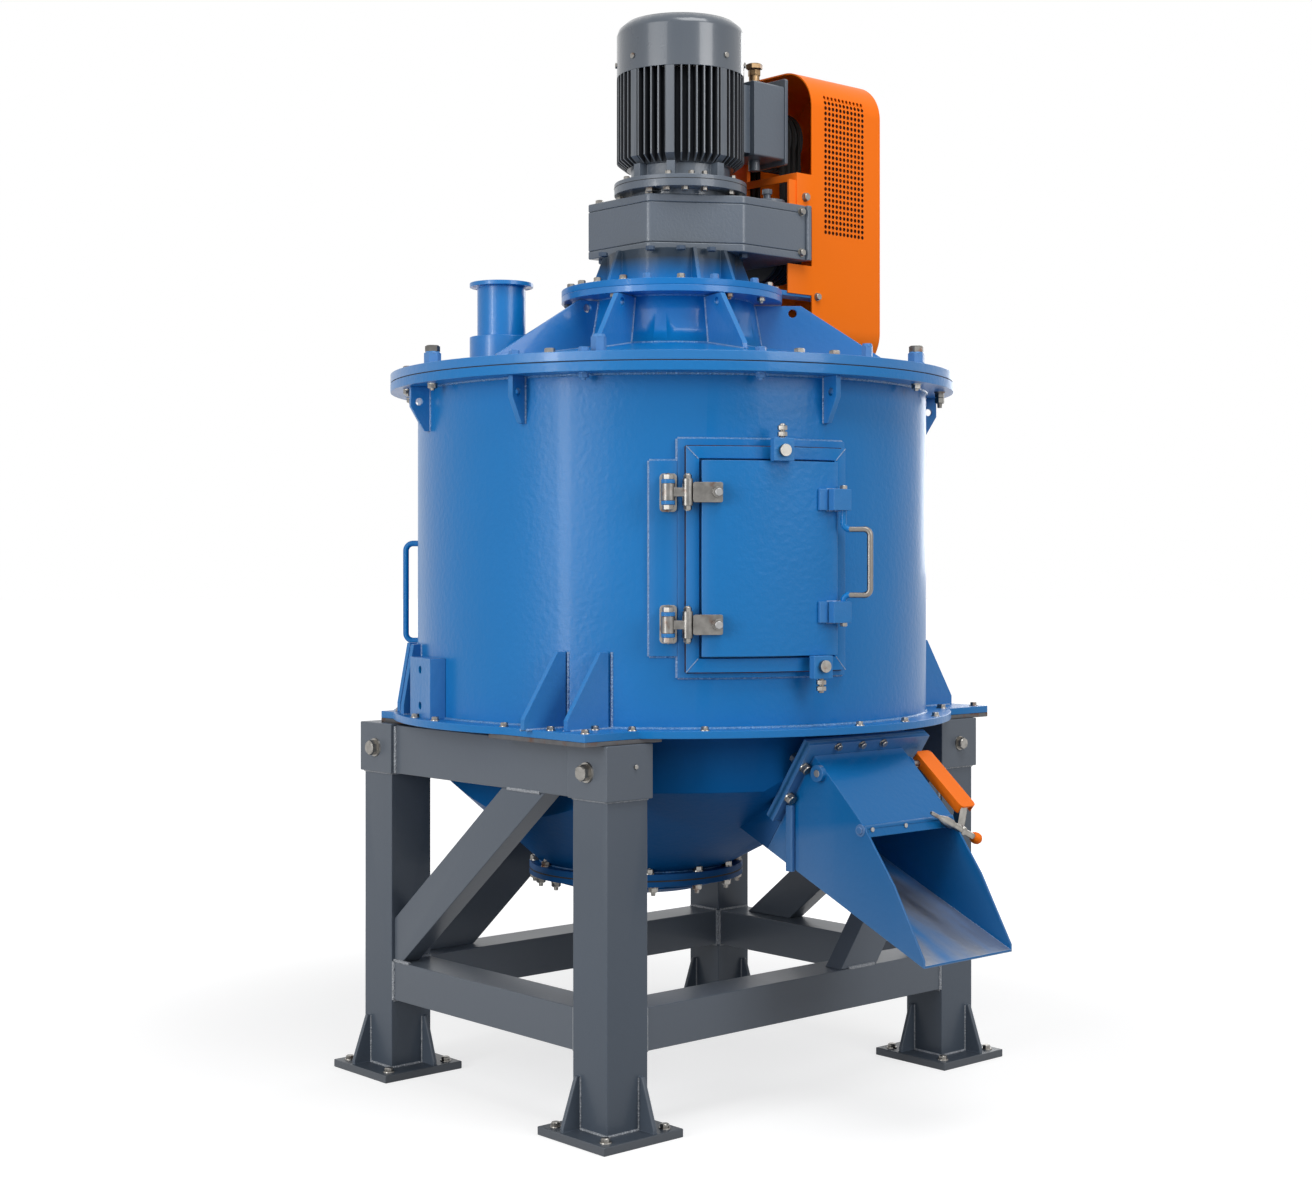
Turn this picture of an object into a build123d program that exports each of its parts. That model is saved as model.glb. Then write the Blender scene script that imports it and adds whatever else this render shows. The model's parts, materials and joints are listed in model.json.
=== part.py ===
from build123d import *
import math
import os

# Intensive mixer: a vertical drum on a welded frame, with a top drive.
# Millimetres, +Z up. The origin is on the floor, under the drum's axis.
# +X runs along the frame's long side and -Y is the discharge side.

os.makedirs("parts", exist_ok=True)

# Shared clearances
SEAT_GAP = 0.3
RUN_FIT = 0.05

# Frame
LEG_X = 520
LEG_Y = 385
LEG_SIZE = 110
TUBE_WALL = 6
FOOT_SIZE = 215
FOOT_T = 18
ANCHOR_SPACING = 160
ANCHOR_R = 11
FOOT_GUSSET_H = 110
FOOT_GUSSET_REACH = 46
FOOT_GUSSET_T = 10
FOOT_GUSSET_SHIFT = 35
CAP_WALL = 8
CAP_BOTTOM = 700
CAP_TOP = 814
PAD_T = 10
LOW_RAIL_Z = 175
LOW_RAIL_H = 90
RAIL_WIDTH = 100
TOP_RAIL_DROP = 3
BRACE_WIDTH = 95
BRACE_DEPTH = 50
BRACE_SHIFT = 22
CAP_BOLT_R = 22
CAP_HEAD_R = 18
CAP_BOLT_OUT = 16

# Drum
DRUM_R = 600
DRUM_WALL = 6
DRUM_HEIGHT = 764
FLANGE_T = 20
FLOOR_RING_R = DRUM_R + 58
FLOOR_RING_T = 16
TOP_FLANGE_R = DRUM_R + 64
GASKET_T = 2
FOOT_PLATE_X = 635
FOOT_PLATE_Y = 440
FOOT_PLATE_REACH_X = 210
FOOT_PLATE_REACH_Y = 320
BACK_PLATE_X = 560
BACK_PLATE_Y = 395

# Hopper under the drum
HOPPER_R = 550
HOPPER_SKIRT = 124
HOPPER_FLAT_X = 452
HOPPER_FLAT_Y = 314
OUTLET_R = 225
OUTLET_X = -63
OUTLET_Y = 57
OUTLET_Z = 482
OUTLET_FLANGE_R = 253
OUTLET_FLANGE_T = 14
OUTLET_GASKET_T = 3
COVER_T = 12

# Discharge chute, seen from the side in Y and Z
CHUTE_LEFT = -130
CHUTE_RIGHT = 150
CHUTE_WALL = 5
CHUTE_MOUTH_TOP_Y = -590
CHUTE_MOUTH_TOP_Z = 815
CHUTE_MOUTH_LOW_Y = -430
CHUTE_MOUTH_LOW_Z = 576
CHUTE_LIP_Y = -900
CHUTE_LIP_Z = 370
CHUTE_FLANGE_T = 12
CHUTE_FLANGE_LEFT = -156
CHUTE_FLANGE_RIGHT = 225
CHUTE_TOP_BEND_Y = -659
CHUTE_TOP_BEND_Z = 718
CHUTE_BROW_Y = -735
CHUTE_BROW_Z = 643
CHUTE_CHEEK_BACK = 80
CHUTE_CHEEK_H = 157
CHUTE_LIP_H = 16
HEM_HEIGHT = 24

# Discharge gate
GATE_SHAFT_Y = -612
GATE_SHAFT_Z = 742
GATE_SHAFT_R = 8
GATE_FLOOR_GAP = 4
GATE_T = 6
GATE_SIDE_GAP = 4
GATE_BOSS_R = 18
GATE_BOSS_T = 12
GATE_HUB_WALL = 0.8
LEVER_X = 205
LEVER_WIDTH = 50
LEVER_LENGTH = 152
LEVER_T = 5
LEVER_LIP = 22
LEVER_SLOPE = 40
LOCK_ROD_R = 7
LOCK_KNOB_R = 13

# Lid, pedestal and charging inlet
LID_RISE = 63
LID_WALL = 6
PEDESTAL_LOW_R = 215
PEDESTAL_TOP_R = 195
PEDESTAL_H = 111
PEDESTAL_FLANGE_R = 262
PEDESTAL_PLATE_T = 15
NECK_R = 152
NECK_H = 85
NECK_WALL = 14
INLET_ANGLE = 142
INLET_RADIUS = 404
INLET_R = 57
INLET_WALL = 5
INLET_COLLAR_R = 75
INLET_FLANGE_T = 10
INLET_PCD = 130

# Gearbox and motor
GEARBOX_H = 132
GEARBOX_LEFT = -118
GEARBOX_RIGHT = 281
GEARBOX_HALF = 170
GEARBOX_PLATE_T = 19
MOTOR_X = 28
MOTOR_FLANGE_R = 158
MOTOR_FLANGE_T = 28
MOTOR_SPIGOT_H = 13
MOTOR_SPIGOT_R = 116
MOTOR_BODY_R = 128
MOTOR_FIN_R = 152
MOTOR_LOW_H = 34
MOTOR_BODY_H = 219
FIN_COUNT = 52
FIN_T = 4
FIN_BEVEL = 18
BOLT_RIB_ANGLES = (-178.5, -141.6, -90.5, -0.5, 89.5)
BOLT_RIB_W = 20
COWL_R = 152
COWL_WALL = 4
COWL_H = 99
COWL_SHOULDERS = ((5, 14), (20, 27), (52, 35))
COWL_DOME = 40
MOTOR_SHAFT_R = 30
ROTOR_CORE_R = 84
ROTOR_CORE_H = 170
FAN_R = 130
FAN_BLADES = 8

# Belt drive
PULLEY_Y = 65
PULLEY_START = 350
GROOVES = 4
GROOVE_PITCH = 19
UPPER_PULLEY_R = 75
LOWER_PULLEY_R = 75
GROOVE_DEPTH = 13
GROOVE_TOP = 14
GROOVE_FLOOR = 8
BELT_PROUD = 1.5
DRIVE_SHAFT_R = 12
AUX_MOTOR_R = 50
AUX_MOTOR_START = 184
AUX_MOTOR_END = 322
GUARD_LEFT = 324
GUARD_RIGHT = 569
GUARD_HALF = 150
GUARD_H = 724
GUARD_CORNER_R = 95
GUARD_T = 4

# Mixing rotor
SHAFT_R = 55
BEARING_R = 105
SEAL_R = 85
HUB_R = 90
HUB_H = 110
ARM_R = 24
ARM_REACH = 60
ARM_COUNT = 3
PADDLE_GAP = 14
PADDLE_W = 150
PADDLE_H = 130
PADDLE_T = 14
PADDLE_TILT = 38
SCRAPER_W = 36
SCRAPER_T = 16
SCRAPER_GAP = 8

# Access door, on the drum wall
DOOR_START = -126.5
DOOR_END = -98.8
DOOR_R = DRUM_R + 40
DOOR_T = 26
DOOR_FRAME_START = -129.4
DOOR_FRAME_END = -95.8
DOUBLER_START = -131
DOUBLER_END = -94.8
DOUBLER_T = 10
DOOR_FRAME_T = 15
PORT_MARGIN = 14
SEAL_T = 3
HINGE_R = DOOR_R + 10
HINGE_ANGLE = -132.8
HINGE_PIN_R = 7
HINGE_KNUCKLE_R = 14
HINGE_HEAD_R = 12
HINGE_PLATE_W = 36
HINGE_KNUCKLE_H = 36
HINGE_EAR_T = 8
CLAMP_ANGLE = -129.2
CLAMP_R = 11
CLAMP_H = 56
CLAMP_STUD_L = 39
LINK_W = 16
LINK_H = 18
STRAP_ANGLE = -125.5
STRAP_T = 12
STRAP_H = 42
STRAP_LENGTH = 62
LATCH_ANGLE = -99.4
LATCH_ROD_SHIFT = 12
LATCH_BLOCK_W = 46
LATCH_BLOCK_H = 45
LATCH_BLOCK_T = 26
LATCH_ROD_R = 6.5
LATCH_GRIP_OUT = 56
DOG_TOP_ANGLE = -111.4
DOG_LOW_ANGLE = -103.3
DOG_W = 46
DOG_NEAR = 22
DOG_FAR = 26
DOG_T = 20
DOG_BOLT_R = 8
DOG_BOSS_R = 12
DOG_HEAD_R = 13
DOG_STUD_R = 6
DOG_STUD_L = 30
DOG_NUT_R = 11
DOG_NUT_RISES = (3, 16)

# Small fittings on the drum
LUG_W = 46
LUG_H = 100
LUG_T = 12
LUG_HOLE_R = 8.5
LUG_NOSE_H = 45
LUG_FOOT_W = 14
LUG_HOLE_OUT = 26
LUG_HOLE_DROP = 34
LUG_ANGLES = (-164, -99, -34, 34, 98, 162)
HANDLE_ANGLE = 134
HANDLE_OUT = 40
HANDLE_R = 7
CHANNEL_ANGLE = 165
CHANNEL_W = 128
CHANNEL_H = 134
CHANNEL_T = 8
CHANNEL_DEPTH = 34
FLANGE_BOLT_ANGLES = (155, 171, -164, -156, -149, -115, -107, -99, -73, -52, -20, 12, 44, 76, 108, 132)
FLANGE_BOLT_R = 12
BOLT_HEAD_H = 10

# Levels that follow from the sizes above
BASE_Z = CAP_TOP + PAD_T
DRUM_BOTTOM = BASE_Z + FLOOR_RING_T
DRUM_TOP = DRUM_BOTTOM + DRUM_HEIGHT
LID_BOTTOM = DRUM_TOP + GASKET_T
LID_TOP = LID_BOTTOM + FLANGE_T
PEDESTAL_BOTTOM = LID_TOP + LID_RISE
PEDESTAL_TOP = PEDESTAL_BOTTOM + PEDESTAL_H
NECK_BOTTOM = PEDESTAL_TOP + 2 * PEDESTAL_PLATE_T
GEARBOX_BOTTOM = NECK_BOTTOM + NECK_H
GEARBOX_TOP = GEARBOX_BOTTOM + GEARBOX_H
MOTOR_FLANGE_Z = GEARBOX_TOP + MOTOR_SPIGOT_H
MOTOR_LOW_Z = MOTOR_FLANGE_Z + MOTOR_FLANGE_T
MOTOR_BODY_Z = MOTOR_LOW_Z + MOTOR_LOW_H
COWL_Z = MOTOR_BODY_Z + MOTOR_BODY_H
COWL_TOP = COWL_Z + COWL_H + COWL_DOME
UPPER_PULLEY_Z = GEARBOX_TOP + 203
LOWER_PULLEY_Z = GEARBOX_BOTTOM + 52
GUARD_TOP = GEARBOX_TOP + 345
GUARD_BOTTOM = GUARD_TOP - GUARD_H
INLET_TOP = LID_TOP + 221
INLET_COLLAR_TOP = LID_TOP + 93
DOUBLER_LOW = DRUM_BOTTOM + 107
DOUBLER_HIGH = DRUM_BOTTOM + 606
DOOR_FRAME_LOW = DRUM_BOTTOM + 119
DOOR_FRAME_HIGH = DRUM_BOTTOM + 590
DOOR_LOW = DRUM_BOTTOM + 152
DOOR_HIGH = DRUM_BOTTOM + 560
HINGE_LOW_Z = DRUM_BOTTOM + 219
HINGE_HIGH_Z = DRUM_BOTTOM + 493
LATCH_LOW_Z = DRUM_BOTTOM + 243
LATCH_HIGH_Z = DRUM_BOTTOM + 480
LATCH_GRIP_LOW = DRUM_BOTTOM + 279
LATCH_GRIP_HIGH = DRUM_BOTTOM + 418
DOG_LOW_Z = DRUM_BOTTOM + 130
DOG_TOP_Z = DRUM_BOTTOM + 581
HANDLE_LOW_Z = DRUM_BOTTOM + 160
HANDLE_HIGH_Z = DRUM_BOTTOM + 393
SHAFT_BOTTOM = DRUM_BOTTOM + 52
LOW_ARM_Z = DRUM_BOTTOM + 95
HIGH_ARM_Z = DRUM_BOTTOM + 395
SCRAPER_LOW = DRUM_BOTTOM + 170
SCRAPER_HIGH = DRUM_TOP - 104
HOPPER_BREAK_Z = BASE_Z - HOPPER_SKIRT
FLOOR_SLOPE = (CHUTE_MOUTH_LOW_Z - CHUTE_LIP_Z) / (CHUTE_MOUTH_LOW_Y - CHUTE_LIP_Y)
DRUM_BORE = DRUM_R - DRUM_WALL
SHAFT_TOP = GEARBOX_BOTTOM + GEARBOX_H / 2
CORNERS = {"left": (-1, 1), "front": (-1, -1), "right": (1, -1), "back": (1, 1)}


def save(builder, label):
    """Label a finished piece and write it out."""
    builder.part.label = label
    export_step(builder.part, f"parts/{label}.step")


def save_group(label, *builders):
    """Write several touching pieces as one node of separate solids."""
    pieces = []
    for builder in builders:
        pieces.extend(builder.part.solids())
    export_step(Compound(pieces, label=label), f"parts/{label}.step")


def wall_plane(angle, radius, height):
    """Plane on the drum wall, x along the wall, y up and z outward."""
    turn = math.radians(angle)
    return Plane(
        origin=(radius * math.cos(turn), radius * math.sin(turn), height),
        x_dir=(-math.sin(turn), math.cos(turn), 0),
        z_dir=(math.cos(turn), math.sin(turn), 0),
    )


def radial_plane(angle, side=0):
    """Upright plane through the drum axis, x outward and y up."""
    turn = math.radians(angle)
    return Plane(
        origin=(-side * math.sin(turn), side * math.cos(turn), 0),
        x_dir=(math.cos(turn), math.sin(turn), 0),
        z_dir=(math.sin(turn), -math.cos(turn), 0),
    )


def sector(inner, outer, start, end):
    """Flat face between two radii and two angles."""
    with BuildSketch() as face:
        with BuildLine():
            outside = CenterArc((0, 0), outer, start, end - start)
            inside = CenterArc((0, 0), inner, start, end - start)
            Line(outside @ 0, inside @ 0)
            Line(outside @ 1, inside @ 1)
        make_face()
    return face.sketch


def chute_floor_z(y):
    """Height of the chute's underside at a given Y."""
    run = CHUTE_MOUTH_LOW_Y - CHUTE_LIP_Y
    return CHUTE_LIP_Z + (y - CHUTE_LIP_Y) * (CHUTE_MOUTH_LOW_Z - CHUTE_LIP_Z) / run


def mouth_y(z, ahead=0):
    """Y of the chute's mounting plane at a height, moved ahead along its normal."""
    rise = CHUTE_MOUTH_TOP_Z - CHUTE_MOUTH_LOW_Z
    lean = (CHUTE_MOUTH_LOW_Y - CHUTE_MOUTH_TOP_Y) / rise
    square = math.hypot(1, lean)
    return CHUTE_MOUTH_TOP_Y + (CHUTE_MOUTH_TOP_Z - z) * lean - ahead * square


def mouth_point(drop, ahead):
    """Y and Z of a point down the chute's mounting plane and ahead of it."""
    lean = math.atan2(CHUTE_MOUTH_TOP_Z - CHUTE_MOUTH_LOW_Z, CHUTE_MOUTH_LOW_Y - CHUTE_MOUTH_TOP_Y)
    return (
        CHUTE_MOUTH_TOP_Y + drop * math.cos(lean) - ahead * math.sin(lean),
        CHUTE_MOUTH_TOP_Z - drop * math.sin(lean) - ahead * math.cos(lean),
    )


def foot_plates():
    """Plan of the drum's four foot plates, the two at the back smaller."""
    with BuildSketch() as plates:
        for sx, sy in CORNERS.values():
            corner_x = FOOT_PLATE_X if sy < 0 else BACK_PLATE_X
            corner_y = FOOT_PLATE_Y if sy < 0 else BACK_PLATE_Y
            with Locations((sx * (corner_x - FOOT_PLATE_REACH_X / 2), sy * (corner_y - FOOT_PLATE_REACH_Y / 2))):
                Rectangle(FOOT_PLATE_REACH_X, FOOT_PLATE_REACH_Y)
    return plates.sketch


def floor_at_mouth(ahead, lift=0):
    """Point where the chute's floor line, lifted, meets the mounting plane."""
    lean = (CHUTE_MOUTH_LOW_Y - CHUTE_MOUTH_TOP_Y) / (CHUTE_MOUTH_TOP_Z - CHUTE_MOUTH_LOW_Z)
    level = (chute_floor_z(mouth_y(0, ahead)) + lift) / (1 + FLOOR_SLOPE * lean)
    return (mouth_y(level, ahead), level)


# Frame legs, each with its foot plate and gussets
with BuildPart() as legs:
    for sx, sy in CORNERS.values():
        with BuildSketch(Plane.XY):
            with Locations((sx * LEG_X, sy * LEG_Y)):
                Rectangle(FOOT_SIZE, FOOT_SIZE)
                with GridLocations(ANCHOR_SPACING, ANCHOR_SPACING, 2, 2):
                    Circle(ANCHOR_R, mode=Mode.SUBTRACT)
        extrude(amount=FOOT_T)
        with BuildSketch(Plane.XY.offset(FOOT_T)):
            with Locations((sx * LEG_X, sy * LEG_Y)):
                Rectangle(LEG_SIZE, LEG_SIZE)
                Rectangle(LEG_SIZE - 2 * TUBE_WALL, LEG_SIZE - 2 * TUBE_WALL, mode=Mode.SUBTRACT)
        extrude(amount=CAP_TOP - CAP_WALL - FOOT_T)
        for turn in (0, 90, 180, 270):
            face = Plane.XZ.rotated((0, 0, turn))
            side = FOOT_GUSSET_SHIFT if turn % 180 else 0
            face.origin = (sx * LEG_X + side, sy * LEG_Y + FOOT_GUSSET_SHIFT - side, FOOT_T)
            with BuildSketch(face):
                with BuildLine():
                    Polyline(
                        (LEG_SIZE / 2, 0),
                        (LEG_SIZE / 2 + FOOT_GUSSET_REACH, 0),
                        (LEG_SIZE / 2 + FOOT_GUSSET_REACH, FOOT_GUSSET_T),
                        (LEG_SIZE / 2 + FOOT_GUSSET_T, FOOT_GUSSET_H),
                        (LEG_SIZE / 2, FOOT_GUSSET_H),
                        close=True,
                    )
                make_face()
            extrude(amount=FOOT_GUSSET_T / 2, both=True)
save(legs, "legs")

# Cap boxes over the leg tops
CAP_SIZE = LEG_SIZE + 2 * CAP_WALL
with BuildPart() as caps:
    with BuildSketch(Plane.XY.offset(CAP_BOTTOM)):
        with Locations(*[(sx * LEG_X, sy * LEG_Y) for sx, sy in CORNERS.values()]):
            Rectangle(CAP_SIZE, CAP_SIZE)
    extrude(amount=CAP_TOP - CAP_BOTTOM)
    with BuildSketch(Plane.XY.offset(CAP_BOTTOM)):
        with Locations(*[(sx * LEG_X, sy * LEG_Y) for sx, sy in CORNERS.values()]):
            Rectangle(LEG_SIZE, LEG_SIZE)
    extrude(amount=CAP_TOP - CAP_WALL - CAP_BOTTOM, mode=Mode.SUBTRACT)
save(caps, "leg_caps")

# Levelling pads between the caps and the drum's feet
with BuildPart() as pads:
    with BuildSketch(Plane.XY.offset(CAP_TOP)):
        add(foot_plates())
        Circle(HOPPER_R + SEAT_GAP, mode=Mode.SUBTRACT)
    extrude(amount=PAD_T)
save(pads, "levelling_pads")

# Through bolts of the caps, with their washers
with BuildPart() as cap_bolts:
    for sx, sy in CORNERS.values():
        along = (sx, 0, 0) if sx < 0 else (0, sy, 0)
        face = Plane(
            origin=(
                sx * LEG_X + along[0] * CAP_SIZE / 2,
                sy * LEG_Y + along[1] * CAP_SIZE / 2,
                (CAP_BOTTOM + CAP_TOP) / 2,
            ),
            z_dir=along,
        )
        with BuildSketch(face):
            Circle(CAP_BOLT_R)
        extrude(amount=CAP_BOLT_OUT / 2)
        with BuildSketch(face.offset(CAP_BOLT_OUT / 2)):
            RegularPolygon(CAP_HEAD_R, 6)
        extrude(amount=CAP_BOLT_OUT)
save(cap_bolts, "cap_bolts")

# Horizontal rails of square tube, low ones all round and top ones on three sides
LOW_RAIL_MID = LOW_RAIL_Z + LOW_RAIL_H / 2
TOP_RAIL_H = CAP_TOP - TOP_RAIL_DROP - CAP_BOTTOM
TOP_RAIL_MID = CAP_BOTTOM + TOP_RAIL_H / 2
RAILS = (
    (Plane.YZ, LEG_X - LEG_SIZE / 2, -LEG_Y, LOW_RAIL_MID, LOW_RAIL_H),
    (Plane.YZ, LEG_X - LEG_SIZE / 2, LEG_Y, LOW_RAIL_MID, LOW_RAIL_H),
    (Plane.XZ, LEG_Y - LEG_SIZE / 2, -LEG_X, LOW_RAIL_MID, LOW_RAIL_H),
    (Plane.XZ, LEG_Y - LEG_SIZE / 2, LEG_X, LOW_RAIL_MID, LOW_RAIL_H),
    (Plane.YZ, LEG_X - CAP_SIZE / 2, LEG_Y, TOP_RAIL_MID, TOP_RAIL_H),
    (Plane.XZ, LEG_Y - CAP_SIZE / 2, -LEG_X, TOP_RAIL_MID, TOP_RAIL_H),
    (Plane.XZ, LEG_Y - CAP_SIZE / 2, LEG_X, TOP_RAIL_MID, TOP_RAIL_H),
)
with BuildPart() as rails:
    for plane, half_length, across, level, height in RAILS:
        with BuildSketch(plane):
            with Locations((across, level)):
                Rectangle(RAIL_WIDTH, height)
                Rectangle(RAIL_WIDTH - 2 * TUBE_WALL, height - 2 * TUBE_WALL, mode=Mode.SUBTRACT)
        extrude(amount=half_length, both=True)
save(rails, "rails")

# Diagonal braces, cut to the rails and legs that they are welded to
LOW_RAIL_TOP = LOW_RAIL_Z + LOW_RAIL_H
# plane, foot of the centre line, head of the centre line, half the leg spacing
BRACES = (
    (Plane.YZ.offset(-LEG_X - BRACE_SHIFT), (345, 290), (-153, 700), LEG_Y),
    (Plane.YZ.offset(LEG_X + BRACE_SHIFT), (195, 265), (-330, 683), LEG_Y),
    (Plane.XZ.offset(LEG_Y + BRACE_SHIFT), (185, 265), (465, 637), LEG_X),
    (Plane.XZ.offset(-LEG_Y - BRACE_SHIFT), (-345, 290), (153, 700), LEG_X),
)
with BuildPart() as braces:
    for plane, foot, head, half_bay in BRACES:
        slope = math.degrees(math.atan2(head[1] - foot[1], head[0] - foot[0]))
        middle = ((foot[0] + head[0]) / 2, (foot[1] + head[1]) / 2)
        bay = 2 * half_bay - LEG_SIZE
        with BuildSketch(plane):
            with Locations(middle):
                Rectangle(3 * LEG_X, BRACE_WIDTH, rotation=slope)
            with Locations((0, (LOW_RAIL_TOP + CAP_BOTTOM) / 2)):
                Rectangle(bay, CAP_BOTTOM - LOW_RAIL_TOP, mode=Mode.INTERSECT)
        extrude(amount=BRACE_DEPTH / 2, both=True)
        with BuildSketch(plane):
            with Locations(middle):
                Rectangle(3 * LEG_X, BRACE_WIDTH - 2 * TUBE_WALL, rotation=slope)
        extrude(amount=BRACE_DEPTH / 2 - TUBE_WALL, both=True, mode=Mode.SUBTRACT)
save(braces, "braces")

# Hopper: round skirt and oblique cone, with flats between the rails and at the chute,
# and a box that runs down to the chute's floor
FLANGE_AHEAD = 2 * CHUTE_FLANGE_T
FLANGE_DROP = 205
HOPPER_BOX_TOP = 720
HOPPER_BOX_BACK = -300
MOUTH_CUT_TOP = 780
MOUTH_CUT_BACK = 40


def hopper_core(thinner):
    """Solid of the hopper, made thinner all round for its inside."""
    with BuildPart() as core:
        with BuildSketch(Plane.XY.offset(HOPPER_BREAK_Z)):
            Circle(HOPPER_R - thinner)
        extrude(amount=HOPPER_SKIRT)
        with BuildSketch(Plane.XY.offset(HOPPER_BREAK_Z)):
            Circle(HOPPER_R - thinner)
        with BuildSketch(Plane.XY.offset(OUTLET_Z)):
            with Locations((OUTLET_X, OUTLET_Y)):
                Circle(OUTLET_R - thinner)
        loft()
        with BuildSketch(Plane.YZ):
            with BuildLine():
                Polyline(
                    (HOPPER_FLAT_Y - thinner, BASE_Z),
                    (mouth_y(BASE_Z, -thinner), BASE_Z),
                    (mouth_y(OUTLET_Z, -thinner), OUTLET_Z),
                    (HOPPER_FLAT_Y - thinner, OUTLET_Z),
                    close=True,
                )
            make_face()
        extrude(amount=HOPPER_FLAT_X - thinner, both=True, mode=Mode.INTERSECT)
        with BuildSketch(Plane.YZ.offset(CHUTE_LEFT + thinner)):
            with BuildLine():
                Polyline(
                    (mouth_y(HOPPER_BOX_TOP, -thinner), HOPPER_BOX_TOP),
                    mouth_point(FLANGE_DROP + SEAT_GAP + thinner, -thinner),
                    mouth_point(FLANGE_DROP + SEAT_GAP + thinner, FLANGE_AHEAD - SEAT_GAP),
                    floor_at_mouth(FLANGE_AHEAD - SEAT_GAP, thinner),
                    (HOPPER_BOX_BACK, chute_floor_z(HOPPER_BOX_BACK) + thinner),
                    (HOPPER_BOX_BACK, HOPPER_BOX_TOP),
                    close=True,
                )
            make_face()
        extrude(amount=CHUTE_RIGHT - CHUTE_LEFT - 2 * thinner)
    return core.part


def make_hopper_hole():
    """Flat shape of the hopper's open top."""
    with BuildSketch() as hole:
        Circle(HOPPER_R - DRUM_WALL)
        with Locations((0, HOPPER_FLAT_Y - DRUM_WALL)):
            Rectangle(
                2 * (HOPPER_FLAT_X - DRUM_WALL), 2 * HOPPER_R, align=(Align.CENTER, Align.MAX),
                mode=Mode.INTERSECT,
            )
    return hole.sketch


HOPPER_OUTSIDE = hopper_core(0)
HOPPER_INSIDE = hopper_core(DRUM_WALL)
with BuildPart() as hopper:
    add(HOPPER_OUTSIDE)
    add(HOPPER_INSIDE, mode=Mode.SUBTRACT)
    # mouth in the flat, where the batch runs out to the chute
    with BuildSketch(Plane.YZ.offset(CHUTE_LEFT + CHUTE_WALL)):
        with BuildLine():
            Polyline(
                (mouth_y(MOUTH_CUT_TOP, MOUTH_CUT_BACK), MOUTH_CUT_TOP),
                (mouth_y(MOUTH_CUT_TOP, -MOUTH_CUT_BACK), MOUTH_CUT_TOP),
                floor_at_mouth(-MOUTH_CUT_BACK, CHUTE_WALL),
                floor_at_mouth(MOUTH_CUT_BACK, CHUTE_WALL),
                close=True,
            )
        make_face()
    extrude(amount=CHUTE_RIGHT - CHUTE_LEFT - 2 * CHUTE_WALL, mode=Mode.SUBTRACT)
    with BuildSketch(Plane.XY.offset(OUTLET_Z)):
        with Locations((OUTLET_X, OUTLET_Y)):
            Circle(OUTLET_FLANGE_R)
            Circle(OUTLET_R - DRUM_WALL, mode=Mode.SUBTRACT)
    extrude(amount=-OUTLET_FLANGE_T)
save(hopper, "hopper")

# Gasket, cover and dished bottom under the hopper's outlet
OUTLET_LOW = OUTLET_Z - OUTLET_FLANGE_T
OUTLET_CENTRE = Plane(origin=(OUTLET_X, OUTLET_Y, OUTLET_LOW))
with BuildPart() as outlet_gasket:
    with BuildSketch(OUTLET_CENTRE):
        Circle(OUTLET_FLANGE_R)
        Circle(OUTLET_R, mode=Mode.SUBTRACT)
    extrude(amount=-OUTLET_GASKET_T)

COVER_TOP = OUTLET_LOW - OUTLET_GASKET_T
DISH_STEPS = ((212, 0), (205, 12), (160, 26), (90, 34), (0, 37))
COVER_PLANE = Plane(origin=(OUTLET_X, OUTLET_Y, COVER_TOP), x_dir=(1, 0, 0), z_dir=(0, -1, 0))
with BuildPart() as outlet_cover:
    with BuildSketch(COVER_PLANE):
        with BuildLine():
            Polyline(
                (0, 0),
                (OUTLET_FLANGE_R, 0),
                (OUTLET_FLANGE_R, -COVER_T),
                *[(reach, -COVER_T - drop) for reach, drop in DISH_STEPS],
                close=True,
            )
        make_face()
    revolve(axis=Axis((OUTLET_X, OUTLET_Y, COVER_TOP), (0, 0, 1)))
save(outlet_cover, "outlet_cover")

# Chute: a bolted flange, two sides, a floor, a bent top plate and a hem
CHUTE_BACK_TOP_Z = 778
CHUTE_BACK_TOP_Y = mouth_y(CHUTE_BACK_TOP_Z, FLANGE_AHEAD)
CHUTE_OUTLINE = (
    (CHUTE_BACK_TOP_Y, CHUTE_BACK_TOP_Z),
    (CHUTE_TOP_BEND_Y, CHUTE_TOP_BEND_Z),
    (CHUTE_BROW_Y, CHUTE_BROW_Z),
    (CHUTE_LIP_Y + CHUTE_CHEEK_BACK, CHUTE_LIP_Z + CHUTE_CHEEK_H),
    (CHUTE_LIP_Y, CHUTE_LIP_Z + CHUTE_LIP_H),
    (CHUTE_LIP_Y, CHUTE_LIP_Z),
    floor_at_mouth(FLANGE_AHEAD),
)
TOP_PLATE_DROP = CHUTE_WALL * math.sqrt(2)
FLOOR_LIFT = CHUTE_WALL * math.hypot(1, FLOOR_SLOPE)
TOP_SLOPE = (CHUTE_BACK_TOP_Z - CHUTE_TOP_BEND_Z) / (CHUTE_BACK_TOP_Y - CHUTE_TOP_BEND_Y)
HOLLOW_BACK = 40
CHUTE_HOLLOW = (
    (CHUTE_BACK_TOP_Y + HOLLOW_BACK, CHUTE_BACK_TOP_Z + HOLLOW_BACK * TOP_SLOPE - TOP_PLATE_DROP),
    (CHUTE_TOP_BEND_Y, CHUTE_TOP_BEND_Z - TOP_PLATE_DROP),
    (CHUTE_BROW_Y, CHUTE_BROW_Z - TOP_PLATE_DROP),
    (CHUTE_LIP_Y - 100, CHUTE_BROW_Z - TOP_PLATE_DROP),
    (CHUTE_LIP_Y - 100, chute_floor_z(CHUTE_LIP_Y - 100) + FLOOR_LIFT),
    floor_at_mouth(0, FLOOR_LIFT),
)
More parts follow.
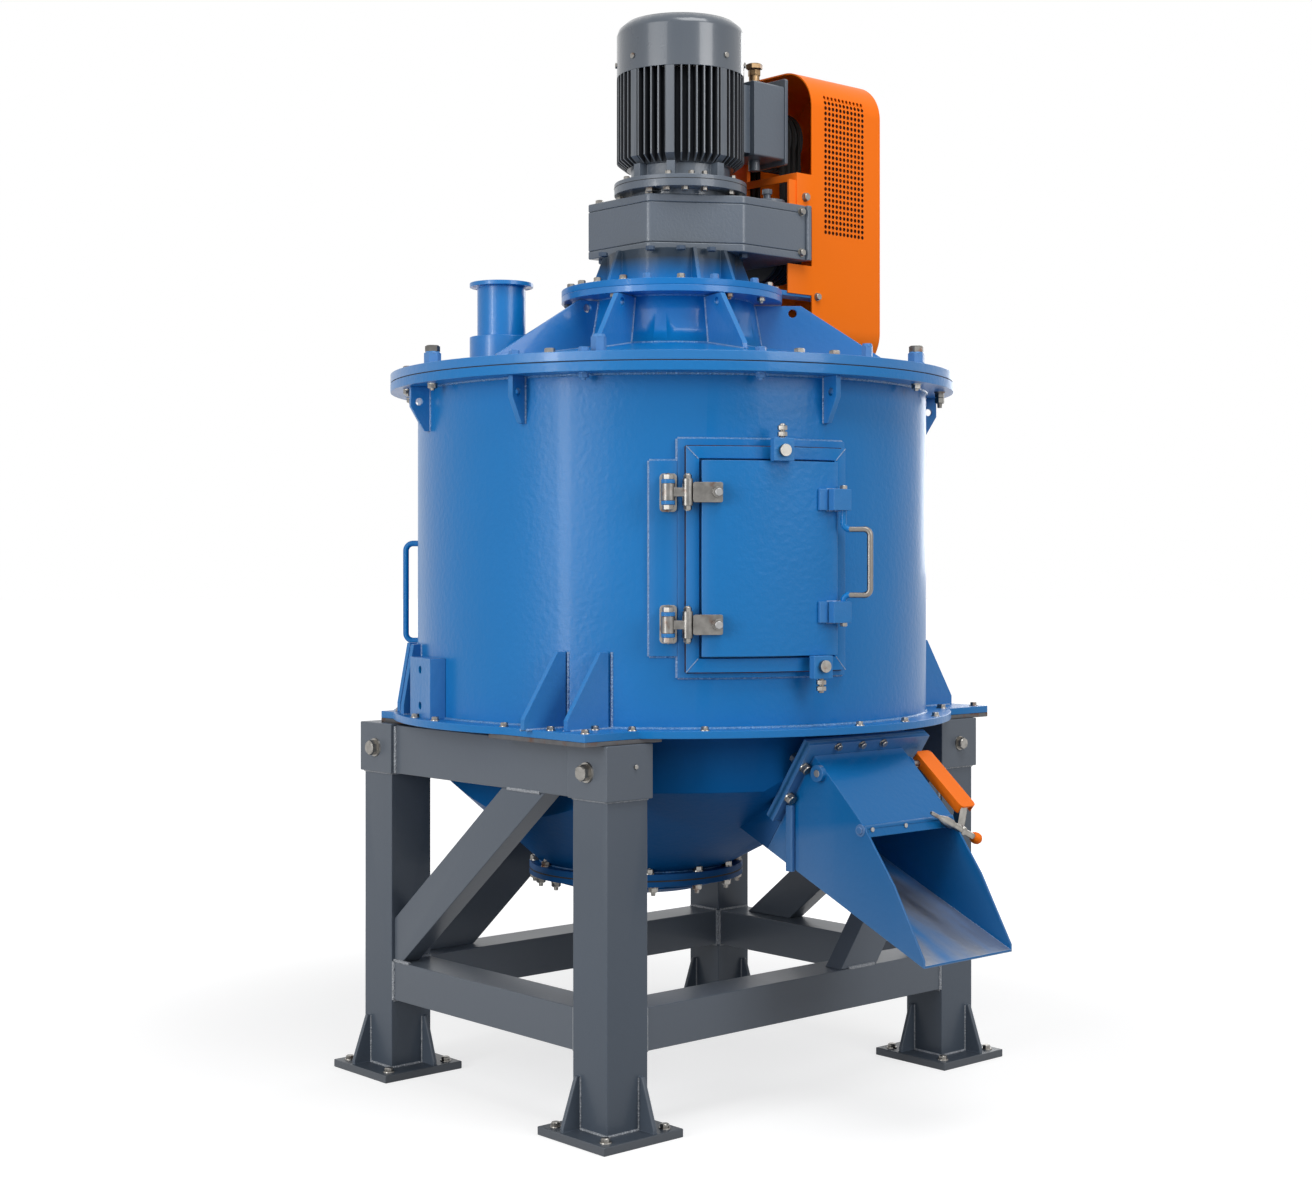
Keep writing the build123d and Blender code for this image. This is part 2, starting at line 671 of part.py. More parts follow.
with BuildPart() as chute:
    with BuildSketch(Plane.YZ.offset(CHUTE_LEFT)):
        with BuildLine():
            Polyline(*CHUTE_OUTLINE, close=True)
        make_face()
    extrude(amount=CHUTE_RIGHT - CHUTE_LEFT)
    # hem strip under the brow
    with BuildSketch(Plane.YZ.offset(CHUTE_LEFT)):
        with BuildLine():
            Polyline(
                (CHUTE_BROW_Y, CHUTE_BROW_Z),
                (CHUTE_BROW_Y - CHUTE_WALL, CHUTE_BROW_Z),
                (CHUTE_BROW_Y - CHUTE_WALL - HEM_HEIGHT / 3, CHUTE_BROW_Z - HEM_HEIGHT),
                (CHUTE_BROW_Y - HEM_HEIGHT / 3, CHUTE_BROW_Z - HEM_HEIGHT),
                close=True,
            )
        make_face()
    extrude(amount=CHUTE_RIGHT - CHUTE_LEFT)
    with BuildSketch(Plane.YZ.offset(CHUTE_LEFT + CHUTE_WALL)):
        with BuildLine():
            Polyline(*CHUTE_HOLLOW, close=True)
        make_face()
    extrude(amount=CHUTE_RIGHT - CHUTE_LEFT - 2 * CHUTE_WALL, mode=Mode.SUBTRACT)
    with BuildSketch(Plane.YZ.offset(CHUTE_LEFT + CHUTE_WALL)):
        with BuildLine():
            Polyline(
                (CHUTE_BROW_Y, CHUTE_BROW_Z - CHUTE_WALL),
                (CHUTE_BROW_Y - CHUTE_WALL, CHUTE_BROW_Z - CHUTE_WALL),
                (CHUTE_BROW_Y - CHUTE_WALL - HEM_HEIGHT / 3, CHUTE_BROW_Z - HEM_HEIGHT),
                (CHUTE_BROW_Y - HEM_HEIGHT / 3, CHUTE_BROW_Z - HEM_HEIGHT),
                close=True,
            )
        make_face()
    extrude(amount=CHUTE_RIGHT - CHUTE_LEFT - 2 * CHUTE_WALL)
    # bearing bosses of the gate shaft
    with BuildSketch(Plane.YZ.offset(CHUTE_LEFT - GATE_BOSS_T)):
        with Locations((GATE_SHAFT_Y, GATE_SHAFT_Z)):
            Circle(GATE_BOSS_R)
    extrude(amount=GATE_BOSS_T)
    with BuildSketch(Plane.YZ.offset(CHUTE_RIGHT)):
        with Locations((GATE_SHAFT_Y, GATE_SHAFT_Z)):
            Circle(GATE_BOSS_R)
    extrude(amount=GATE_BOSS_T / 4)
    with BuildSketch(Plane.YZ.offset(CHUTE_LEFT - GATE_BOSS_T)):
        with Locations((GATE_SHAFT_Y, GATE_SHAFT_Z)):
            Circle(GATE_SHAFT_R + RUN_FIT)
    extrude(amount=CHUTE_RIGHT - CHUTE_LEFT + 2 * GATE_BOSS_T, mode=Mode.SUBTRACT)
save(chute, "discharge_chute")

# Bolted flange plates between the hopper and the chute
MOUTH_LEAN = math.degrees(
    math.atan2(CHUTE_MOUTH_TOP_Z - CHUTE_MOUTH_LOW_Z, CHUTE_MOUTH_LOW_Y - CHUTE_MOUTH_TOP_Y)
)
MOUTH_PLANE = Plane(
    origin=(0, CHUTE_MOUTH_TOP_Y, CHUTE_MOUTH_TOP_Z),
    x_dir=(1, 0, 0),
    z_dir=(0, -math.sin(math.radians(MOUTH_LEAN)), -math.cos(math.radians(MOUTH_LEAN))),
)
MOUTH_SLANT = math.hypot(
    CHUTE_MOUTH_TOP_Z - CHUTE_MOUTH_LOW_Z, CHUTE_MOUTH_LOW_Y - CHUTE_MOUTH_TOP_Y
)
FLANGE_HEAD = 44
mouth_flanges = []
for ahead in (0, CHUTE_FLANGE_T):
    with BuildPart() as mouth_flange:
        with BuildSketch(MOUTH_PLANE.offset(ahead)):
            with Locations(((CHUTE_FLANGE_LEFT + CHUTE_FLANGE_RIGHT) / 2, 0)):
                Rectangle(
                    CHUTE_FLANGE_RIGHT - CHUTE_FLANGE_LEFT, FLANGE_DROP, align=(Align.CENTER, Align.MAX)
                )
            with Locations(((CHUTE_LEFT + CHUTE_RIGHT) / 2, -FLANGE_HEAD)):
                Rectangle(
                    CHUTE_RIGHT - CHUTE_LEFT - 2 * CHUTE_WALL, FLANGE_DROP, align=(Align.CENTER, Align.MAX),
                    mode=Mode.SUBTRACT,
                )
        extrude(amount=CHUTE_FLANGE_T)
    mouth_flanges.append(mouth_flange)
save_group("mouth_flanges", *mouth_flanges)

# Ring plate under the drum, with the four feet that stand on the pads
with BuildPart() as base_flange:
    with BuildSketch(Plane.XY.offset(BASE_Z)):
        Circle(FLOOR_RING_R)
        add(foot_plates())
        add(make_hopper_hole(), mode=Mode.SUBTRACT)
    extrude(amount=FLOOR_RING_T)
save(base_flange, "drum_base_flange")

# Upright gussets of the feet: two per foot, welded to the wall
GUSSET_T = 12
GUSSET_H = 160
GUSSET_Y = (262, 345)
GUSSET_REACH = 112
BACK_GUSSET_REACH = 50
GUSSET_NOSE = 22
with BuildPart() as foot_gussets:
    for sx, sy in CORNERS.values():
        for across in GUSSET_Y:
            root = math.sqrt(DRUM_R**2 - (across - GUSSET_T / 2) ** 2) + SEAT_GAP
            reach = GUSSET_REACH if sy < 0 else BACK_GUSSET_REACH
            with BuildSketch(Plane.XZ.offset(-sy * across)):
                with BuildLine():
                    Polyline(
                        (sx * root, DRUM_BOTTOM),
                        (sx * (root + reach), DRUM_BOTTOM),
                        (sx * (root + reach), DRUM_BOTTOM + GUSSET_NOSE),
                        (sx * (root + GUSSET_NOSE), DRUM_BOTTOM + GUSSET_H),
                        (sx * root, DRUM_BOTTOM + GUSSET_H),
                        close=True,
                    )
                make_face()
            extrude(amount=GUSSET_T / 2, both=True)
save(foot_gussets, "foot_gussets")

# Drum shell with the access port cut through its wall
PORT_TURN = math.degrees(PORT_MARGIN / DRUM_R)
PORT_START = DOOR_START + PORT_TURN
PORT_END = DOOR_END - PORT_TURN
PORT_LOW = DOOR_LOW + PORT_MARGIN
PORT_HIGH = DOOR_HIGH - PORT_MARGIN
with BuildPart() as shell:
    with BuildSketch(Plane.XY.offset(DRUM_BOTTOM)):
        Circle(DRUM_R)
        Circle(DRUM_BORE, mode=Mode.SUBTRACT)
    extrude(amount=DRUM_HEIGHT)
    with BuildSketch(Plane.XY.offset(PORT_LOW)):
        add(sector(DRUM_BORE - DRUM_WALL, DRUM_R + DRUM_WALL, PORT_START, PORT_END))
    extrude(amount=PORT_HIGH - PORT_LOW, mode=Mode.SUBTRACT)
save(shell, "drum_shell")

with BuildPart() as top_flange:
    with BuildSketch(Plane.XY.offset(DRUM_TOP - FLANGE_T)):
        Circle(TOP_FLANGE_R)
        Circle(DRUM_R + SEAT_GAP, mode=Mode.SUBTRACT)
    extrude(amount=FLANGE_T)
save(top_flange, "drum_top_flange")

# Hanging lugs under the top flange
with BuildPart() as lugs:
    for angle in LUG_ANGLES:
        with BuildSketch(radial_plane(angle)):
            with BuildLine():
                Polyline(
                    (DRUM_R + SEAT_GAP, DRUM_TOP - FLANGE_T),
                    (DRUM_R + LUG_W, DRUM_TOP - FLANGE_T),
                    (DRUM_R + LUG_W, DRUM_TOP - FLANGE_T - LUG_NOSE_H),
                    (DRUM_R + LUG_FOOT_W, DRUM_TOP - FLANGE_T - LUG_H),
                    (DRUM_R + SEAT_GAP, DRUM_TOP - FLANGE_T - LUG_H),
                    close=True,
                )
            make_face()
            with Locations((DRUM_R + LUG_HOLE_OUT, DRUM_TOP - FLANGE_T - LUG_HOLE_DROP)):
                Circle(LUG_HOLE_R, mode=Mode.SUBTRACT)
        extrude(amount=LUG_T / 2, both=True)
save(lugs, "hanging_lugs")

# Grab handle on the drum wall, a bent bar on two small plates
HANDLE_PLATE_T = 6
HANDLE_SPAN = HANDLE_HIGH_Z - HANDLE_LOW_Z
with BuildPart() as grab_handle:
    for level in (HANDLE_LOW_Z, HANDLE_HIGH_Z):
        with BuildSketch(wall_plane(HANDLE_ANGLE, DRUM_R + SEAT_GAP, level)):
            Rectangle(4 * HANDLE_R, 6 * HANDLE_R)
        extrude(amount=HANDLE_PLATE_T)
    with BuildLine(radial_plane(HANDLE_ANGLE)) as handle_path:
        FilletPolyline(
            (DRUM_R + HANDLE_PLATE_T, HANDLE_LOW_Z),
            (DRUM_R + HANDLE_OUT, HANDLE_LOW_Z),
            (DRUM_R + HANDLE_OUT, HANDLE_HIGH_Z),
            (DRUM_R + HANDLE_PLATE_T, HANDLE_HIGH_Z),
            radius=2.5 * HANDLE_R,
        )
    with BuildSketch(handle_path.line ^ 0):
        Circle(HANDLE_R)
    sweep()
save(grab_handle, "drum_handle")

# Channel bracket standing on the base flange
with BuildPart() as channel:
    with BuildSketch(wall_plane(CHANNEL_ANGLE, DRUM_R + CHANNEL_DEPTH, DRUM_BOTTOM + CHANNEL_H / 2)):
        Rectangle(CHANNEL_W, CHANNEL_H)
        with GridLocations(0, CHANNEL_H * 0.6, 1, 2):
            Circle(LUG_HOLE_R, mode=Mode.SUBTRACT)
    extrude(amount=-CHANNEL_T)
    with BuildSketch(wall_plane(CHANNEL_ANGLE, DRUM_R + CHANNEL_DEPTH - CHANNEL_T, DRUM_BOTTOM + CHANNEL_H / 2)):
        Rectangle(CHANNEL_W, CHANNEL_H)
        Rectangle(CHANNEL_W - 2 * CHANNEL_T, CHANNEL_H - 2 * CHANNEL_T, mode=Mode.SUBTRACT)
    extrude(amount=-CHANNEL_DEPTH)
    with BuildSketch(Plane.XY.offset(DRUM_BOTTOM)):
        Circle(DRUM_R + SEAT_GAP)
    extrude(amount=CHANNEL_H, mode=Mode.SUBTRACT)
save(channel, "drum_channel")

# Access port: doubler plate, mitred frame and hinge pad
with BuildPart() as doubler:
    with BuildSketch(Plane.XY.offset(DOUBLER_LOW)):
        add(sector(DRUM_R + SEAT_GAP, DRUM_R + DOUBLER_T, DOUBLER_START, DOUBLER_END))
    extrude(amount=DOUBLER_HIGH - DOUBLER_LOW)
    with BuildSketch(Plane.XY.offset(PORT_LOW)):
        add(sector(DRUM_BORE, DRUM_R + 2 * DOUBLER_T, PORT_START, PORT_END))
    extrude(amount=PORT_HIGH - PORT_LOW, mode=Mode.SUBTRACT)

DOOR_GAP = 4
DOOR_GAP_TURN = math.degrees(DOOR_GAP / DOOR_R)
PORT_FRAME_R = DRUM_R + DOUBLER_T + SEAT_GAP
with BuildPart() as door_frame:
    with BuildSketch(Plane.XY.offset(DOOR_FRAME_LOW)):
        add(sector(PORT_FRAME_R, PORT_FRAME_R + DOOR_FRAME_T, DOOR_FRAME_START, DOOR_FRAME_END))
    extrude(amount=DOOR_FRAME_HIGH - DOOR_FRAME_LOW)
    with BuildSketch(Plane.XY.offset(DOOR_LOW - DOOR_GAP)):
        add(sector(DRUM_R, DOOR_R, DOOR_START - DOOR_GAP_TURN, DOOR_END + DOOR_GAP_TURN))
    extrude(amount=DOOR_HIGH - DOOR_LOW + 2 * DOOR_GAP, mode=Mode.SUBTRACT)
save(door_frame, "door_frame")

HINGE_PAD_START = -136.6
HINGE_PAD_T = 8
with BuildPart() as hinge_pad:
    with BuildSketch(Plane.XY.offset(DOOR_LOW)):
        add(sector(DRUM_R + SEAT_GAP, DRUM_R + HINGE_PAD_T, HINGE_PAD_START, DOUBLER_START))
    extrude(amount=DOOR_HIGH - DOOR_LOW)
save_group("port_plates", doubler, hinge_pad)

# Hinge brackets: a plate with two bored ears at each hinge
HINGE_X = HINGE_R * math.cos(math.radians(HINGE_ANGLE))
HINGE_Y = HINGE_R * math.sin(math.radians(HINGE_ANGLE))
HINGE_PLATE_R = DRUM_R + HINGE_PAD_T + 2 * SEAT_GAP
HINGE_PLATE_T = 6
HINGE_LEVELS = (HINGE_LOW_Z, HINGE_HIGH_Z)
EAR_SPAN = HINGE_KNUCKLE_H + 2 * HINGE_EAR_T
with BuildPart() as hinge_brackets:
    for level in HINGE_LEVELS:
        with BuildSketch(wall_plane(HINGE_ANGLE, HINGE_PLATE_R, level)):
            RectangleRounded(HINGE_PLATE_W, EAR_SPAN + 2 * HINGE_KNUCKLE_R, HINGE_EAR_T)
        extrude(amount=HINGE_PLATE_T)
        for ear in (level - EAR_SPAN / 2, level + HINGE_KNUCKLE_H / 2):
            ear_plane = Plane(
                origin=(HINGE_X, HINGE_Y, ear),
                x_dir=(math.cos(math.radians(HINGE_ANGLE)), math.sin(math.radians(HINGE_ANGLE)), 0),
                z_dir=(0, 0, 1),
            )
            with BuildSketch(ear_plane):
                Circle(HINGE_KNUCKLE_R)
                with Locations((HINGE_PLATE_R - HINGE_R, 0)):
                    Rectangle(HINGE_R - HINGE_PLATE_R, 2 * HINGE_KNUCKLE_R, align=(Align.MIN, Align.CENTER))
                Circle(HINGE_PIN_R + RUN_FIT, mode=Mode.SUBTRACT)
            extrude(amount=HINGE_EAR_T)
save(hinge_brackets, "hinge_brackets")

with BuildPart() as hinge_pins:
    for level in HINGE_LEVELS:
        for base, height, nut in (
            (level - EAR_SPAN / 2 - SEAT_GAP, EAR_SPAN + 2 * SEAT_GAP, 0),
            (level - EAR_SPAN / 2 - SEAT_GAP, -BOLT_HEAD_H, HINGE_HEAD_R),
            (level + EAR_SPAN / 2 + SEAT_GAP, BOLT_HEAD_H, HINGE_HEAD_R),
        ):
            with BuildSketch(Plane(origin=(HINGE_X, HINGE_Y, base))):
                if nut:
                    RegularPolygon(nut, 6)
                else:
                    Circle(HINGE_PIN_R)
            extrude(amount=height)
save(hinge_pins, "hinge_pins")

# Door: curved tray, seal strip, hinge arms, latch blocks
DOOR_INNER_R = DRUM_R + DOUBLER_T + SEAT_GAP + SEAL_T
with BuildPart() as door_panel:
    with BuildSketch(Plane.XY.offset(DOOR_LOW)):
        add(sector(DOOR_INNER_R, DOOR_R, DOOR_START, DOOR_END))
    extrude(amount=DOOR_HIGH - DOOR_LOW)
    with BuildSketch(Plane.XY.offset(PORT_LOW)):
        add(sector(DRUM_R, DOOR_R - DRUM_WALL, PORT_START, PORT_END))
    extrude(amount=PORT_HIGH - PORT_LOW, mode=Mode.SUBTRACT)
save(door_panel, "door_panel")

with BuildPart() as door_seal:
    with BuildSketch(Plane.XY.offset(DOOR_LOW + DOOR_GAP)):
        add(sector(DRUM_R + DOUBLER_T + SEAT_GAP, DOOR_INNER_R - SEAT_GAP / 2, DOOR_START + DOOR_GAP_TURN,
                   DOOR_END - DOOR_GAP_TURN))
    extrude(amount=DOOR_HIGH - DOOR_LOW - 2 * DOOR_GAP)
    with BuildSketch(Plane.XY.offset(PORT_LOW)):
        add(sector(DRUM_R, DOOR_R, PORT_START, PORT_END))
    extrude(amount=PORT_HIGH - PORT_LOW, mode=Mode.SUBTRACT)
save(door_seal, "door_seal")

STRAP_PLANE_R = DOOR_R + SEAT_GAP
CLAMP_X = (STRAP_PLANE_R + STRAP_T / 2) * math.cos(math.radians(CLAMP_ANGLE))
CLAMP_Y = (STRAP_PLANE_R + STRAP_T / 2) * math.sin(math.radians(CLAMP_ANGLE))
LINK_LENGTH = math.hypot(CLAMP_X - HINGE_X, CLAMP_Y - HINGE_Y)
LINK_TURN = math.degrees(math.atan2(CLAMP_Y - HINGE_Y, CLAMP_X - HINGE_X))
with BuildPart() as hinge_arms:
    for level in HINGE_LEVELS:
        link_plane = Plane(
            origin=(HINGE_X, HINGE_Y, level),
            x_dir=(math.cos(math.radians(LINK_TURN)), math.sin(math.radians(LINK_TURN)), 0),
            z_dir=(0, 0, 1),
        )
        with BuildSketch(link_plane):
            Circle(HINGE_KNUCKLE_R)
        extrude(amount=HINGE_KNUCKLE_H / 2 - SEAT_GAP, both=True)
        with BuildSketch(link_plane):
            Rectangle(LINK_LENGTH, LINK_W, align=(Align.MIN, Align.CENTER))
        extrude(amount=LINK_H / 2, both=True)
        with BuildSketch(link_plane):
            Circle(HINGE_PIN_R + RUN_FIT)
        extrude(amount=HINGE_KNUCKLE_H, both=True, mode=Mode.SUBTRACT)
        with BuildSketch(Plane(origin=(CLAMP_X, CLAMP_Y, level))):
            Circle(CLAMP_R)
        extrude(amount=CLAMP_H / 2, both=True)
        with BuildSketch(Plane(origin=(CLAMP_X, CLAMP_Y, level))):
            Circle(CLAMP_R / 2)
        extrude(amount=CLAMP_STUD_L, both=True)
        with BuildSketch(wall_plane(STRAP_ANGLE, STRAP_PLANE_R, level)):
            RectangleRounded(STRAP_LENGTH, STRAP_H, STRAP_T / 3)
        extrude(amount=STRAP_T)
        with BuildSketch(wall_plane(STRAP_ANGLE, STRAP_PLANE_R + STRAP_T, level)):
            with Locations((STRAP_LENGTH / 2 - STRAP_T, 0)):
                Circle(CLAMP_R)
        extrude(amount=BOLT_HEAD_H)
save(hinge_arms, "hinge_arms")

LATCH_LEVELS = (LATCH_LOW_Z, LATCH_HIGH_Z)
with BuildPart() as latch_blocks:
    for level in LATCH_LEVELS:
        with BuildSketch(wall_plane(LATCH_ANGLE, STRAP_PLANE_R, level - LATCH_BLOCK_H / 2)):
            Rectangle(LATCH_BLOCK_W, LATCH_BLOCK_H, align=(Align.CENTER, Align.MIN))
        extrude(amount=LATCH_BLOCK_T)
    latch_axis = wall_plane(LATCH_ANGLE, STRAP_PLANE_R + LATCH_BLOCK_T / 2, 0)
    LATCH_POINT = latch_axis.from_local_coords(Vector(LATCH_ROD_SHIFT, 0, 0))
    with BuildSketch(Plane(origin=(LATCH_POINT.X, LATCH_POINT.Y, LATCH_LOW_Z - LATCH_BLOCK_H))):
        Circle(LATCH_ROD_R + RUN_FIT)
    extrude(amount=LATCH_HIGH_Z - LATCH_LOW_Z + 2 * LATCH_BLOCK_H, mode=Mode.SUBTRACT)
save(latch_blocks, "latch_blocks")

# Latch handle: one bent rod that turns in the two blocks, at rest half way out from the wall
LATCH_LEAN = LATCH_ANGLE + 45
with BuildPart() as latch_handle:
    handle_plane = Plane(
        origin=(LATCH_POINT.X, LATCH_POINT.Y, 0),
        x_dir=(math.cos(math.radians(LATCH_LEAN)), math.sin(math.radians(LATCH_LEAN)), 0),
        z_dir=(math.sin(math.radians(LATCH_LEAN)), -math.cos(math.radians(LATCH_LEAN)), 0),
    )
    with BuildLine(handle_plane) as rod_path:
        FilletPolyline(
            (0, LATCH_LOW_Z - LATCH_BLOCK_H / 2),
            (0, LATCH_GRIP_LOW),
            (LATCH_GRIP_OUT, LATCH_GRIP_LOW),
            (LATCH_GRIP_OUT, LATCH_GRIP_HIGH),
            (0, LATCH_GRIP_HIGH),
            (0, LATCH_HIGH_Z + LATCH_BLOCK_H / 2),
            radius=2 * LATCH_ROD_R,
        )
    with BuildSketch(rod_path.line ^ 0):
        Circle(LATCH_ROD_R)
    sweep()
save(latch_handle, "latch_handle")

# Turning clamp dogs at the door's upper and lower edge, each on its own bolt
DOG_R = DOOR_R + 1
DOG_SEATS = {"upper": (DOG_TOP_ANGLE, DOG_TOP_Z, 1), "lower": (DOG_LOW_ANGLE, DOG_LOW_Z, -1)}
with BuildPart() as dog_bolts:
    for angle, level, _ in DOG_SEATS.values():
        boss_r = PORT_FRAME_R + DOOR_FRAME_T + SEAT_GAP
        with BuildSketch(wall_plane(angle, boss_r, level)):
            Circle(DOG_BOSS_R)
        extrude(amount=DOG_R - SEAT_GAP - boss_r)
        with BuildSketch(wall_plane(angle, DOG_R - SEAT_GAP, level)):
            Circle(DOG_BOLT_R)
        extrude(amount=DOG_T + 2 * SEAT_GAP)
        with BuildSketch(wall_plane(angle, DOG_R + DOG_T + SEAT_GAP, level)):
            Circle(DOG_HEAD_R)
        extrude(amount=BOLT_HEAD_H)
save(dog_bolts, "dog_bolts")

for side, (angle, level, away) in DOG_SEATS.items():
    with BuildPart() as dog:
        with BuildSketch(wall_plane(angle, DOG_R, level)):
            with Locations((0, away * (DOG_FAR - DOG_NEAR) / 2)):
                Rectangle(DOG_W, DOG_NEAR + DOG_FAR)
            Circle(DOG_BOLT_R + RUN_FIT, mode=Mode.SUBTRACT)
        extrude(amount=DOG_T)
        stud = wall_plane(angle, DOG_R + DOG_T / 2, level + away * DOG_FAR)
        stud_base = Plane(origin=stud.origin, z_dir=(0, 0, away))
        with BuildSketch(stud_base):
            Circle(DOG_STUD_R)
        extrude(amount=DOG_STUD_L)
        for rise in DOG_NUT_RISES:
            with BuildSketch(stud_base.offset(rise)):
                RegularPolygon(DOG_NUT_R, 6)
            extrude(amount=BOLT_HEAD_H)
    save(dog, f"{side}_clamp_dog")

# Gate: a flap on a cross shaft, which hangs shut inside the chute
GATE_DROP = GATE_SHAFT_Z - chute_floor_z(GATE_SHAFT_Y) - FLOOR_LIFT
GATE_LENGTH = GATE_DROP / math.hypot(1, FLOOR_SLOPE) - GATE_FLOOR_GAP
with BuildPart() as gate_shaft:
    with BuildSketch(Plane.YZ.offset(CHUTE_LEFT - GATE_BOSS_T)):
        with Locations((GATE_SHAFT_Y, GATE_SHAFT_Z)):
            Circle(GATE_SHAFT_R)
    extrude(amount=LEVER_X + LEVER_WIDTH / 2 - CHUTE_LEFT + GATE_BOSS_T)

FLAP_PLANE = Plane(
    origin=(CHUTE_LEFT + CHUTE_WALL + GATE_SIDE_GAP, GATE_SHAFT_Y, GATE_SHAFT_Z),
    x_dir=(0, math.cos(math.radians(MOUTH_LEAN)), -math.sin(math.radians(MOUTH_LEAN))),
    z_dir=(1, 0, 0),
)
FLAP_WIDTH = CHUTE_RIGHT - CHUTE_LEFT - 2 * CHUTE_WALL - 2 * GATE_SIDE_GAP
with BuildPart() as gate_flap:
    with BuildSketch(FLAP_PLANE):
        Rectangle(GATE_LENGTH, GATE_T, align=(Align.MIN, Align.CENTER))
        with Locations((GATE_SHAFT_R / 2, 0)):
            Circle(GATE_SHAFT_R + GATE_HUB_WALL)
        Circle(GATE_SHAFT_R + RUN_FIT, mode=Mode.SUBTRACT)
    extrude(amount=FLAP_WIDTH)
save_group("gate_flap", gate_flap, gate_shaft)

# Lever: an orange channel clamped to the shaft's end, above the chute's right side
LEVER_TURN = math.radians(LEVER_SLOPE)
LEVER_RISE = LEVER_LIP - LEVER_T
LEVER_PLANE = Plane(
    origin=(LEVER_X, GATE_SHAFT_Y, GATE_SHAFT_Z),
    x_dir=(1, 0, 0),
    z_dir=(0, -math.sin(LEVER_TURN), math.cos(LEVER_TURN)),
)
# local y of this plane runs back up the slope, so the lever reaches towards minus y
with BuildPart() as lever:
    with BuildSketch(LEVER_PLANE.offset(LEVER_RISE)):
        with Locations((0, LEVER_LIP)):
            RectangleRounded(
                LEVER_WIDTH, LEVER_LENGTH + LEVER_LIP, LEVER_LIP / 2, align=(Align.CENTER, Align.MAX)
            )
    extrude(amount=-LEVER_LIP)
    with BuildSketch(LEVER_PLANE.offset(LEVER_RISE - LEVER_T)):
        with Locations((0, 2 * LEVER_LIP)):
            Rectangle(
                LEVER_WIDTH - 2 * LEVER_T, LEVER_LENGTH + 4 * LEVER_LIP, align=(Align.CENTER, Align.MAX)
            )
    extrude(amount=-LEVER_LIP, mode=Mode.SUBTRACT)
    with BuildSketch(Plane.YZ.offset(LEVER_X - LEVER_WIDTH / 2 + LEVER_T)):
        with Locations((GATE_SHAFT_Y, GATE_SHAFT_Z)):
            Circle(GATE_SHAFT_R * 1.8)
    extrude(amount=LEVER_WIDTH - 2 * LEVER_T)
    with BuildSketch(Plane.YZ.offset(LEVER_X - LEVER_WIDTH)):
        with Locations((GATE_SHAFT_Y, GATE_SHAFT_Z)):
            Circle(GATE_SHAFT_R + RUN_FIT)
    extrude(amount=2 * LEVER_WIDTH, mode=Mode.SUBTRACT)
save(lever, "gate_lever")

# Yoke under the lever's end, and the locking rod that slides through its eye
YOKE_W = 24
YOKE_T = 8
YOKE_DROP = 62
YOKE_BACK = 12
YOKE_EYE_R = 13
YOKE_HEAD_LOW = 7.4
YOKE_HEAD_HIGH = 5.6
ROD_TILT = 18.3
ROD_SLOPE = math.radians(ROD_TILT)
EYE_PLANE = LEVER_PLANE.offset(LEVER_RISE - LEVER_T)
YOKE_TOP = EYE_PLANE.from_local_coords(Vector(0, LEVER_LIP - LEVER_LENGTH - LEVER_LIP / 2 + YOKE_BACK, 0))
EYE_Y = YOKE_TOP.Y + YOKE_BACK
EYE_Z = YOKE_TOP.Z - YOKE_DROP
ROD_DIR = (0, -math.cos(ROD_SLOPE), -math.sin(ROD_SLOPE))
with BuildPart() as yoke:
    with BuildSketch(Plane.YZ.offset(LEVER_X - YOKE_W / 2)):
        with BuildLine():
            Polyline(
                (YOKE_TOP.Y - YOKE_T, YOKE_TOP.Z - YOKE_HEAD_LOW),
                (YOKE_TOP.Y + YOKE_T, YOKE_TOP.Z + YOKE_HEAD_HIGH),
                (EYE_Y + YOKE_T, EYE_Z),
                (EYE_Y - YOKE_T, EYE_Z),
                close=True,
            )
        make_face()
    extrude(amount=YOKE_W)
    rod_plane = Plane(origin=(LEVER_X, EYE_Y, EYE_Z), x_dir=(1, 0, 0), z_dir=ROD_DIR)
    with BuildSketch(rod_plane):
        Circle(YOKE_EYE_R)
    extrude(amount=YOKE_T, both=True)
    with BuildSketch(rod_plane):
        Circle(LOCK_ROD_R + RUN_FIT)
    extrude(amount=4 * YOKE_T, both=True, mode=Mode.SUBTRACT)
    with BuildSketch(LEVER_PLANE.offset(LEVER_RISE - LEVER_T)):
        Rectangle(4 * LEVER_WIDTH, 3 * LEVER_LENGTH)
    extrude(amount=2 * LEVER_LIP, mode=Mode.SUBTRACT)
save(yoke, "lever_yoke")

LOCK_STROKE = 20
LOCK_TIP_R = 4
LOCK_COLLAR_R = 11
LOCK_COLLAR_GAP = 2
LOCK_COLLAR_L = 26
LOCK_TAIL = 45
LOCK_TIP_L = 20
LOCK_ROD_AHEAD = 34
KNOB_STEPS = ((9, 0), (12.2, 6), (LOCK_KNOB_R, 13), (11.3, 19.5), (6.5, 24.3))
with BuildPart() as lock_rod:
    with BuildSketch(rod_plane.offset(-YOKE_T - LOCK_STROKE - LOCK_TAIL)):
        Circle(LOCK_ROD_R)
    extrude(amount=LOCK_TAIL + LOCK_STROKE + 2 * YOKE_T + LOCK_ROD_AHEAD)
    with BuildSketch(rod_plane.offset(-YOKE_T - LOCK_STROKE - LOCK_COLLAR_GAP)):
        Circle(LOCK_COLLAR_R)
    extrude(amount=-LOCK_COLLAR_L)
    with BuildSketch(rod_plane.offset(-YOKE_T - LOCK_STROKE - LOCK_TAIL)):
        Circle(LOCK_TIP_R)
    extrude(amount=-LOCK_TIP_L)
save(lock_rod, "lock_rod")

